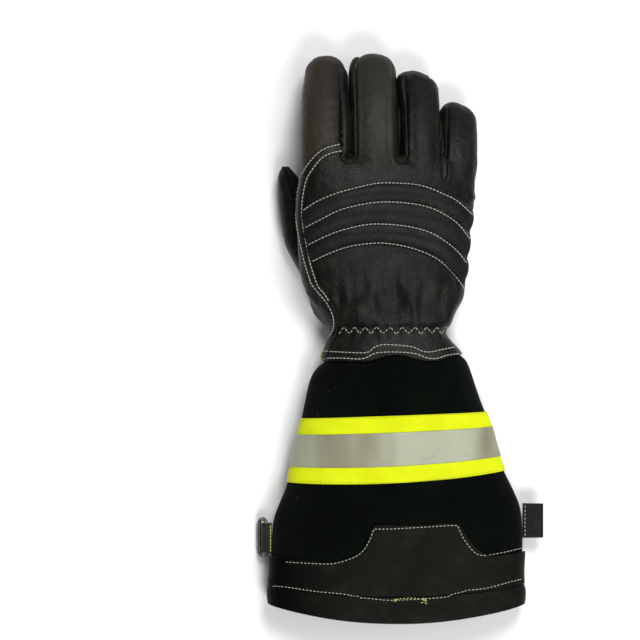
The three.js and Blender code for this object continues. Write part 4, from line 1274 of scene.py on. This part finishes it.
# One material's tree. Lengths in it are millimetres.
class Shade:
    def __init__(self, name, **constants):
        self.material = bpy.data.materials.new(name)
        self.material.use_nodes = True
        self.tree = self.material.node_tree
        self.shader = self.tree.nodes["Principled BSDF"]
        self.set(**constants)
        metres = self.node("ShaderNodeTexCoord", {}, {}, "Object")
        sockets = {"Vector": metres, "Scale": 1000.0}
        self.place = self.node("ShaderNodeVectorMath", {"operation": "SCALE"}, sockets)

    def put(self, socket, item):
        if isinstance(item, Value):
            self.tree.links.new(item.socket, socket)
        else:
            socket.default_value = item

    def node(self, kind, settings, sockets, output=0):
        node = self.tree.nodes.new(kind)
        for key, value in settings.items():
            setattr(node, key, value)
        for key, item in sockets.items():
            found = [s for s in node.inputs if s.identifier == key or s.name == key]
            self.put(found[0], item)
        if isinstance(output, str):
            return Value(self, [s for s in node.outputs if s.identifier == output][0])
        return Value(self, node.outputs[output])

    def math(self, operation, *items):
        return self.node("ShaderNodeMath", {"operation": operation}, dict(zip(("Value", "Value_001"), items)))

    def noise(self, scale, detail, where=None):
        sockets = {"Vector": where or self.place, "Scale": scale, "Detail": detail, "Roughness": 0.5}
        return self.node("ShaderNodeTexNoise", {}, sockets)

    def cells(self, scale, feature="F1"):
        return self.node("ShaderNodeTexVoronoi", {"feature": feature}, {"Vector": self.place, "Scale": scale})

    def stretched(self, x, y, z):
        sockets = {"Vector": self.place, "Vector_001": (x, y, z)}
        return self.node("ShaderNodeVectorMath", {"operation": "MULTIPLY"}, sockets)

    def axis(self, index):
        return self.node("ShaderNodeSeparateXYZ", {}, {"Vector": self.place}, index)

    def mix(self, share, first, second):
        sockets = {"Factor_Float": share, "A_Color": first, "B_Color": second}
        return self.node("ShaderNodeMix", {"data_type": "RGBA"}, sockets, "Result_Color")

    def set(self, **sockets):
        for key, item in sockets.items():
            self.put(self.shader.inputs[key.replace("_", " ")], item)

    def bump(self, height):
        sockets = {"Height": height, "Strength": 1.0, "Distance": 0.001}
        self.set(Normal=self.node("ShaderNodeBump", {}, sockets))
        return self.material


# A colour given as it looks on a screen.
def tone(r, g, b):
    linear = [((c / 255 + 0.055) / 1.055) ** 2.4 if c > 10 else c / 255 / 12.92 for c in (r, g, b)]
    return (*linear, 1.0)


# Smooth grain leather: fine pebbles, soft creases, rubbed patches that shine a little more, and, where given,
# one region painted lighter or darker to stand for light and shade.
def leatherLook(name, colour, worn, rough=0.4, grain=1.0, paintedShadingAndTone=None, gloss=0.14):
    s = Shade(name, Specular_IOR_Level=gloss)
    drift = s.noise(0.045, 3)
    pebble = s.cells(1.15, "SMOOTH_F1")
    wrinkle = s.cells(0.42, "DISTANCE_TO_EDGE").step(0.0, 0.16)
    fine = s.noise(2.6, 4)
    creases = s.noise(0.35, 5, s.stretched(1, 0.5, 1))
    rubbed = s.noise(0.09, 4).step(0.46, 0.72)
    base = s.mix(rubbed * 0.75, colour, worn)
    # Painted light and shade over one region, with some of the leather's own brown on the fingers.
    if paintedShadingAndTone:
        where, other = paintedShadingAndTone
        base = s.mix(where(s), base, other)
    base = s.mix(pebble.step(0.25, 0.6) * 0.22, base, tone(8, 9, 9))
    worked = rough + (drift - 0.5) * 0.25 + fine * 0.08 - rubbed * 0.06
    s.set(Base_Color=base, Roughness=worked.clip(0.2, 0.9))
    height = (0.11 * (1 - pebble) + 0.06 * wrinkle + 0.09 * fine + 0.3 * creases) * grain
    return s.bump(height)


# Suede: nearly black, a short nap in drifting directions, and a few pale specks of lint.
def suedeLook(name, colour, light):
    s = Shade(name, Specular_IOR_Level=0.03, Roughness=0.95, Sheen_Weight=0.03, Sheen_Roughness=0.5)
    nap = s.noise(1.7, 5, s.stretched(1, 0.45, 1))
    drift = s.noise(0.03, 3).step(0.42, 0.7)
    lint = s.noise(0.9, 1).step(0.815, 0.83)
    base = s.mix(drift * 0.7, colour, light)
    base = s.mix(nap.step(0.5, 0.8) * 0.35, base, light)
    base = s.mix(lint * 0.8, base, tone(150, 150, 140))
    s.set(Base_Color=base)
    return s.bump(0.3 * nap + 0.08 * s.noise(4.5, 3))


# Fluorescent knitted cloth, with a faint painted glow (emission) for its brightness.
def hiVisLook(name):
    s = Shade(name, Specular_IOR_Level=0.2, Roughness=0.75, Emission_Strength=0.06)
    x, y = s.axis(0), s.axis(1)
    weave = (x * 7.4).sine() * (y * 7.4).sine()
    soft = s.noise(0.08, 3)
    base = s.mix(soft.step(0.35, 0.7), tone(205, 215, 2), tone(212, 224, 5))
    base = s.mix(weave.step(0.2, 0.9) * 0.14, base, tone(196, 212, 0))
    # The emission is a painted glow in the cloth's own colour.
    s.set(Base_Color=base, Emission_Color=base)
    return s.bump(0.06 * weave + 0.05 * s.noise(1.5, 3))


# Glass-bead film: silver with a fine pressed pattern, and long lighter and darker zones of painted
# reflection.
def silverLook(name):
    s = Shade(name, Specular_IOR_Level=0.5)
    x, y = s.axis(0), s.axis(1)
    # Long lighter and darker zones: painted reflections.
    paintedReflections = s.noise(0.032, 2, s.stretched(1, 0.25, 0.1))
    beads = s.cells(3.2)
    wipe = s.noise(0.3, 4, s.stretched(0.35, 1, 1))
    base = s.mix(paintedReflections.step(0.36, 0.62), tone(134, 130, 106), tone(166, 170, 146))
    base = s.mix(wipe.step(0.5, 0.8) * 0.25, base, tone(130, 128, 120))
    base = s.mix(beads.step(0.1, 0.5) * 0.12, base, tone(120, 120, 114))
    press = ((x + y) * 2.6).sine() * ((x - y) * 2.6).sine()
    s.set(Base_Color=base, Roughness=(0.42 + 0.2 * wipe).clip(0.2, 0.9), Metallic=0.25)
    return s.bump(0.03 * beads + 0.035 * press.step(0.0, 0.8))


# Twisted thread.
def threadLook(name, pale, tinted, share):
    s = Shade(name, Specular_IOR_Level=0.3, Roughness=0.6)
    patch = s.noise(0.05, 2).step(*share)
    fuzz = s.noise(4.0, 3)
    base = s.mix(patch, pale, tinted)
    base = s.mix(fuzz.step(0.5, 0.8) * 0.35, base, tone(120, 118, 100))
    s.set(Base_Color=base)
    twist = ((s.axis(0) + s.axis(1) + s.axis(2)) * 9.0).sine()
    return s.bump(0.05 * twist + 0.04 * fuzz)


# Nickel plate, dulled in patches and finely scratched.
def nickelLook(name):
    s = Shade(name, Metallic=1.0)
    scratch = s.noise(1.2, 4, s.stretched(1, 0.15, 1))
    dull = s.noise(0.25, 3)
    base = s.mix(dull.step(0.4, 0.75), tone(128, 126, 122), tone(84, 82, 78))
    s.set(Base_Color=base, Roughness=(0.24 + 0.25 * dull + 0.1 * scratch).clip(0.1, 0.8))
    return s.bump(0.02 * scratch)


# Shares for the places where painted light and shade change the leather's colour (the fingers also take on
# some of the leather's own brown).
# The middle finger's back: lighter, as a painted sheen, and a little browner, as the leather's own tone.
def middleFingerSheenAndBrown(s):
    return (1 - s.axis(0).step(-6.0, 3.0)) * s.axis(1).step(104.0, 134.0)


# The index finger: lighter, as a painted sheen, and a little browner, as the leather's own tone.
def indexFingerSheenAndBrown(s):
    return (1 - s.axis(0).step(-50.0, -38.0)) * s.axis(1).step(96.0, 120.0)


# The cuff's left: painted shade, near black.
def cuffLeftPaintedShade(s):
    return 1 - s.axis(0).step(-82.0, -38.0)


leatherTones = tone(13, 15, 11), tone(28, 28, 22)
looks = {
    # The grain leather's middle finger gets a painted sheen and a little of the leather's own brown.
    "leather": leatherLook("grain_leather", *leatherTones, paintedShadingAndTone=(middleFingerSheenAndBrown, tone(42, 40, 33))),
    "rib_leather": leatherLook("rib_leather", tone(12, 16, 14), tone(23, 27, 24), 0.42),
    # The patch leather is painted near black towards the cuff's left, as shade.
    "patch_leather": leatherLook(
        "patch_leather", tone(16, 17, 12), tone(26, 27, 21), 0.46, 0.7, (cuffLeftPaintedShade, tone(2, 2, 1)), 0.06,
    ),
    "suede": suedeLook("suede", tone(4, 7, 4), tone(9, 14, 9)),
    "hi_vis": hiVisLook("hi_vis_cloth"),
    "reflective": silverLook("silver_film"),
    "steel": nickelLook("nickel"),
}
# The palm leather's index finger gets a painted sheen and a little of the leather's own brown.
palmLook = leatherLook("palm_leather", *leatherTones, paintedShadingAndTone=(indexFingerSheenAndBrown, tone(46, 41, 32)))
# A darker, less glossy copy of the grain leather: painted shade over the thumb.
shadedThumbLook = leatherLook("thumb_leather", tone(10, 12, 9), tone(24, 24, 19), gloss=0.12)


def dress(obj, material):
    obj.data.materials.clear()
    obj.data.materials.append(material)


for obj in pieces.values():
    dress(obj, looks[obj["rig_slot"]])
dress(pieces["palm_leather"], palmLook)
dress(pieces["thumb_leather"], shadedThumbLook)
# A lighter, glossier copy of the grain leather for the strips between the fingers: painted light on their
# sides.
litStripLook = leatherLook("strip_leather", tone(17, 18, 14), tone(32, 32, 26), gloss=0.2)
for name in stripNames:
    dress(pieces[name + "_leather"], litStripLook)
threads = {
    "pale": threadLook("thread", tone(180, 182, 170), tone(190, 190, 130), (0.66, 0.76)),
    "yellow": threadLook("yellow_thread", tone(196, 198, 120), tone(214, 216, 90), (0.4, 0.6)),
    "tape": threadLook("tape_thread", tone(176, 190, 20), tone(196, 206, 60), (0.4, 0.6)),
}
print("materials done")

# Rows of stitches on the back, as the camera sees them.
stitchSettings = dict(pitch=2.5, length=1.9, radius=0.3, sink=0.08)
wristRows = [
    [
        (321, 351), (339, 352), (366, 352.7), (372, 349), (380, 345), (395, 345), (413, 347), (421.5, 351),
        (430, 352), (440, 350), (455, 347),
    ],
    [
        (321, 358.6), (339, 358), (359.5, 359), (368, 357), (376, 353), (395, 352), (415, 353.5),
        (426, 357.6), (436, 358.6), (448, 355), (460, 353.5),
    ],
]
zigzagX = [
    338.5, 343.8, 349.0, 354.8, 359.8, 364.9, 370.8, 376.7, 383.3, 390, 396.2, 402.5, 408.7, 415, 421, 427,
    432, 437, 441.5, 446.5, 450.5,
]
zigzagRow = [(x, 326.3 if k % 2 else 334.6) for k, x in enumerate(zigzagX)]
tapeRows = [
    [(301, 420.5), (328.5, 418.5), (382, 418), (426, 415.4), (487, 413.6)],
    [(288, 481.4), (353, 482.6), (401, 482.6), (442, 478.6), (504, 469.6)],
]
guardRow = [
    (285, 562), (302, 563), (328.5, 564), (341, 562), (357.5, 555.6), (366, 547), (371, 537), (374, 529.4),
    (378, 529), (390.5, 529), (426, 527), (455, 525.4), (458, 527), (461, 534), (468, 545), (479, 555),
    (498, 553.5), (522, 548),
]
hemRow = [
    (272, 585.7), (291, 588), (318, 592), (341, 594), (362, 597.5), (384, 600), (401, 600), (421.5, 599),
    (444, 597), (465, 591), (488, 588), (510, 582), (522, 579),
]
restartRow = [(395, 599.2), (402, 598.6), (410, 598.0), (418, 598.6), (424, 599.8)]


# A row as the camera sees it, laid on a surface. A sharp one keeps its corners.
def seenRow(tree, row, step=stitchSettings["pitch"], sharp=False):
    if sharp:
        corners = np.array(row, float)
        sides = [np.linspace(a, b, 8, endpoint=False) for a, b in zip(corners[:-1], corners[1:])]
        dense = np.concatenate(sides + [corners[-1:]])
    else:
        dense = evenLine(row, 2.0)
    hits = [seenOn(tree, x, y) for x, y in dense]
    points = np.array([tuple(p) for p, n in hits if p]) * 1000 - shift
    return resample(points, int(runAlong(points)[-1] / step) + 1) if sharp else evenLine(points, step)


# Each stitch: middle, direction, normal of the leather under it, and length as a share of the pitch.
def stitchesOn(tree, line):
    s = stitchSettings
    out = []
    for a, b in zip(line[:-1], line[1:]):
        middle = (a + b) / 2
        place, normal, _, _ = tree.find_nearest(Vector((middle + shift) / 1000))
        along = Vector(b - a).normalized()
        point = np.array(place) * 1000 - shift + np.array(normal) * s["sink"]
        point[2] = max(point[2], 0.3)
        out.append((point, np.array(along), np.array(normal), np.linalg.norm(b - a) / s["pitch"]))
    return out


# One stitch: a short length of thread whose ends sink into the leather.
def stitchShape():
    s = stitchSettings
    stations = [
        (-1, 0.35, -0.42), (-0.92, 0.8, -0.28), (-0.5, 1.0, 0.05), (0, 1.0, 0.18), (0.5, 1.0, 0.05),
        (0.92, 0.8, -0.28), (1, 0.35, -0.42),
    ]
    angles = np.linspace(0, 2 * np.pi, 7, endpoint=False)
    rings = []
    for x, girth, lift in stations:
        aside = np.cos(angles) * girth * s["radius"]
        up = lift * s["radius"] * 1.6 + np.sin(angles) * girth * s["radius"] * 0.85
        rings.append(np.stack([np.full(7, x * s["length"] / 2), aside, up], -1))
    return loftObject("stitch_shape", np.array(rings) - shift)


# A stitch on each point, turned along its row and away from the leather.
def stitchTree(shape, material):
    tree = bpy.data.node_groups.new("sewn_row", "GeometryNodeTree")
    tree.interface.new_socket("Geometry", in_out="INPUT", socket_type="NodeSocketGeometry")
    scaleInput = tree.interface.new_socket("Thread scale", in_out="INPUT", socket_type="NodeSocketFloat")
    tree.interface.new_socket("Geometry", in_out="OUTPUT", socket_type="NodeSocketGeometry")
    n = tree.nodes
    start, end = n.new("NodeGroupInput"), n.new("NodeGroupOutput")

    def attribute(name, kind):
        node = n.new("GeometryNodeInputNamedAttribute")
        node.data_type = kind
        node.inputs["Name"].default_value = name
        return [s for s in node.outputs if s.enabled and s.name == "Attribute"][0]

    toPoints = n.new("GeometryNodeMeshToPoints")
    place = n.new("GeometryNodeInstanceOnPoints")
    source = n.new("GeometryNodeObjectInfo")
    source.inputs["Object"].default_value = shape
    first = n.new("FunctionNodeAlignRotationToVector")
    first.axis = "Z"
    second = n.new("FunctionNodeAlignRotationToVector")
    second.axis, second.pivot_axis = "X", "Z"
    combine = n.new("ShaderNodeCombineXYZ")
    product = n.new("ShaderNodeMath")
    product.operation = "MULTIPLY"
    real = n.new("GeometryNodeRealizeInstances")
    paint = n.new("GeometryNodeSetMaterial")
    paint.inputs["Material"].default_value = material
    link = tree.links.new
    link(start.outputs[0], toPoints.inputs["Mesh"])
    link(toPoints.outputs[0], place.inputs["Points"])
    link(source.outputs["Geometry"], place.inputs["Instance"])
    link(attribute("normalDirection", "FLOAT_VECTOR"), first.inputs["Vector"])
    link(first.outputs[0], second.inputs["Rotation"])
    link(attribute("sewDirection", "FLOAT_VECTOR"), second.inputs["Vector"])
    link(second.outputs[0], place.inputs["Rotation"])
    link(attribute("span", "FLOAT"), product.inputs[0])
    link(start.outputs["Thread scale"], product.inputs[1])
    link(product.outputs[0], combine.inputs["X"])
    link(start.outputs["Thread scale"], combine.inputs["Y"])
    link(start.outputs["Thread scale"], combine.inputs["Z"])
    link(combine.outputs[0], place.inputs["Scale"])
    link(place.outputs[0], real.inputs[0])
    link(real.outputs[0], paint.inputs["Geometry"])
    link(paint.outputs[0], end.inputs[0])
    return tree, scaleInput.identifier


# A piece of stitches, all of one thread.
def sew(name, stitches, material, scale=1.0):
    obj = newObject(name, toWorld([s[0] for s in stitches]), [])
    for label, index in (("sewDirection", 1), ("normalDirection", 2)):
        attribute = obj.data.attributes.new(label, "FLOAT_VECTOR", "POINT")
        attribute.data.foreach_set("vector", np.array([s[index] for s in stitches], np.float32).ravel())
    attribute = obj.data.attributes.new("span", "FLOAT", "POINT")
    attribute.data.foreach_set("value", np.array([s[3] for s in stitches], np.float32))
    tree, key = stitchTree(stitchBody, material)
    modifier = obj.modifiers.new("sewing", "NODES")
    modifier.node_group = tree
    modifier[key] = scale
    applyModifiers(obj)
    obj.data.polygons.foreach_set("use_smooth", [True] * len(obj.data.polygons))
    obj.name = name
    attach(obj, "root")
    threadPieces.append(obj)


threadPieces = []
stitchBody = stitchShape()
handTree = surfaceTree(*[pieces[n] for n in ("back_leather", "palm_leather", "seam_binding", "knuckle_ribs")])
cuffTree = surfaceTree(*[pieces[n] for n in (
    "back_suede", "palm_suede", "back_hem", "palm_hem", "tape_cloth", "silver_stripe", "guard_leather",
    "patch_leather", "tab_leather", "loop_leather", "strap_leather",
)])


# The stitches of rows that the camera sees.
def seenStitches(tree, *rows):
    return [stitch for row in rows for stitch in stitchesOn(tree, seenRow(tree, row))]


sew("quilt_stitches", seenStitches(handTree, *quiltRows), threads["pale"])
bindingStitches = []
for line in bindingLines:
    bindingStitches += stitchesOn(handTree, evenLine(line, stitchSettings["pitch"]))
sew("binding_stitches", bindingStitches, threads["pale"])


# Palm side rows, by turn on the hand or the cuff.
def skinRow(skin, alongAt, turns, step=stitchSettings["pitch"], sharp=False):
    fine = np.linspace(*np.radians(turns), 500)
    points = skin(alongAt(fine), fine, 3.0)
    return resample(points, int(runAlong(points)[-1] / step)) if sharp else evenLine(points[::6], step)


def sawtooth(turn):
    return handSettings["elasticY"] + 2.7 * (2 / np.pi) * np.arcsin(np.sin(turn * 16))


wristStitches = seenStitches(handTree, *wristRows)
for y in handSettings["sewnRows"]:
    wristStitches += stitchesOn(handTree, skinRow(handSkin, level(y), (184, 360)))
zigzagPitch = 3.1
zigzag = stitchesOn(handTree, seenRow(handTree, zigzagRow, zigzagPitch, True))
zigzag += stitchesOn(handTree, skinRow(handSkin, sawtooth, (190, 350), zigzagPitch, True))
sew("wrist_stitches", wristStitches, threads["pale"])
sew("zigzag_stitches", zigzag, threads["pale"], 0.85)


def patchRow(turn):
    return patchArc(roundBox(turn)[0], patchSettings["rowFrom"], patchSettings["rowHalfWidth"])


cuffStitches = seenStitches(cuffTree, guardRow)
cuffStitches += stitchesOn(cuffTree, seenRow(cuffTree, hemRow) + (0, 0, 0.8))
cuffStitches += stitchesOn(cuffTree, skinRow(cuffSkin, level(hemTop + hemSettings["rowAt"]), (182, 358)))
cuffStitches += stitchesOn(cuffTree, skinRow(cuffSkin, patchRow, (219, 321)))
sew("cuff_stitches", cuffStitches, threads["pale"], 0.85)
sew("tape_stitches", seenStitches(cuffTree, *tapeRows), threads["tape"], 0.8)

strapStitches = []
for v in strapSettings["sewnRows"]:
    xs = np.linspace(strapSettings["left"] + 3, strapSettings["right"] - 1.5, 40)
    line = np.stack([xs, np.full(40, strapSettings["top"] - v), np.full(40, -2.0)], -1)
    strapStitches += stitchesOn(cuffTree, evenLine(line, stitchSettings["pitch"]))
sew("strap_stitches", strapStitches, threads["pale"])


# A row across the top of the tab or the loop, at a distance from its sewn end.
def endRow(x, z, low, high, step):
    return stitchesOn(cuffTree, evenLine([(x, y, z) for y in np.linspace(low, high, 12)], step))


tabLow, tabHigh = [np.array(v) * 1000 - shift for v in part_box("side_tab")]
tabStitches = endRow(tabLow[0] + 1.6, tabHigh[2] + 0.2, tabLow[1] + 1, tabHigh[1] - 1, 2.5)
loopPoints = meshPoints(pieces["loop_leather"]) * 1000 - shift
rootX = loopPoints[:, 0].max()
loopTop = loopPoints[loopPoints[:, 0] > rootX - 2.5][:, 2].max()
loopLow, loopHigh = loopPoints[:, 1].min(), loopPoints[:, 1].max()
sew("side_stitches", tabStitches, threads["pale"], 0.85)
sew("loop_stitches", endRow(rootX - 1.2, loopTop, loopLow + 0.8, loopHigh - 0.8, 2.2), threads["yellow"], 1.1)


# Loose ends of thread where a row was started again.
def knotAt(tree, x, y, count, spread, seed):
    rng = np.random.default_rng(seed)
    place, normal = seenOn(tree, x, y)
    point = np.array(place) * 1000 - shift
    out = []
    for k in range(count):
        turn = rng.uniform(0, 2 * np.pi)
        away = rng.normal(0, spread, 2)
        tilt = np.array([math.cos(turn), math.sin(turn), rng.uniform(-0.2, 0.5)])
        lying = point + (away[0], away[1], 0.3 + 0.25 * k / count)
        out.append((lying, tilt / np.linalg.norm(tilt), np.array(normal), rng.uniform(0.8, 1.5)))
    return out


knots = knotAt(handTree, 320.5, 356.5, 9, 1.0, 4)
knots += knotAt(cuffTree, 396, 599.5, 5, 0.7, 5)
knots += knotAt(cuffTree, 424, 600.3, 7, 0.8, 6)
knots += seenStitches(cuffTree, restartRow)
sew("thread_ends", knots, threads["yellow"], 0.8)
print("stitches", sum(len(o.data.polygons) for o in threadPieces), "faces")
drop(handOuter, stitchBody)

# The cut length of each sheet.
flatLengths = dict(
    back_suede=0.18, palm_suede=0.18, tape_cloth=size.tapeWidth / 1000, silver_stripe=size.tapeWidth / 2000,
)
for name, flatLength in flatLengths.items():
    obj = pieces[name]
    below = [] if "suede" in name else ["back_suede"]

roomSettings = dict(
    width=6000.0, squares=23, level=-0.3, thickness=20, paper=0.92, ambient=0.22,
    lights=[
        ("key", (0.3, 1.0, 1.6), 0.8, 25.0), ("front", (0.4, -1.1, 1.5), 0.8, 21.0),
        ("side", (1.2, 0.2, 1.6), 0.7, 4.0),
    ],
)


# The room: a white floor, a camera straight above, and soft studio light.
def makeRoom():
    s = roomSettings
    g = np.linspace(-s["width"] / 2, s["width"] / 2, s["squares"] + 1)
    x, y = np.meshgrid(g, g, indexing="ij")
    top = np.stack([x, y, np.full_like(x, s["level"])], -1) - (shift[0], shift[1], 0)
    floor = sheetObject("studio_floor", top, top - (0, 0, s["thickness"]))
    material = bpy.data.materials.new("floor_paper")
    material.use_nodes = True
    shader = material.node_tree.nodes["Principled BSDF"]
    shader.inputs["Base Color"].default_value = (s["paper"], s["paper"], s["paper"], 1)
    shader.inputs["Roughness"].default_value = 0.9
    floor.data.materials.append(material)

    camera = bpy.data.cameras.new("camera")
    camera.sensor_fit = "AUTO"
    camera.angle = 2 * math.atan(viewSettings["centre"] / viewSettings["scale"] / viewSettings["height"])
    camera.clip_start = 0.05
    cameraObject = bpy.data.objects.new("camera", camera)
    cameraObject.location = cameraPlace
    collection.objects.link(cameraObject)
    bpy.context.scene.camera = cameraObject

    for name, place, width, power in s["lights"]:
        light = bpy.data.lights.new(name, "AREA")
        light.shape = "DISK"
        light.size = width
        light.energy = power
        lightObject = bpy.data.objects.new(name, light)
        lightObject.location = place
        lightObject.rotation_euler = (-Vector(place)).to_track_quat("-Z", "Y").to_euler()
        collection.objects.link(lightObject)
    world = bpy.data.worlds.new("studio")
    world.use_nodes = True
    world.node_tree.nodes["Background"].inputs["Color"].default_value = (1, 1, 1, 1)
    world.node_tree.nodes["Background"].inputs["Strength"].default_value = s["ambient"]
    bpy.context.scene.world = world
    bpy.context.scene.view_settings.view_transform = "Standard"


makeRoom()
print("room done")
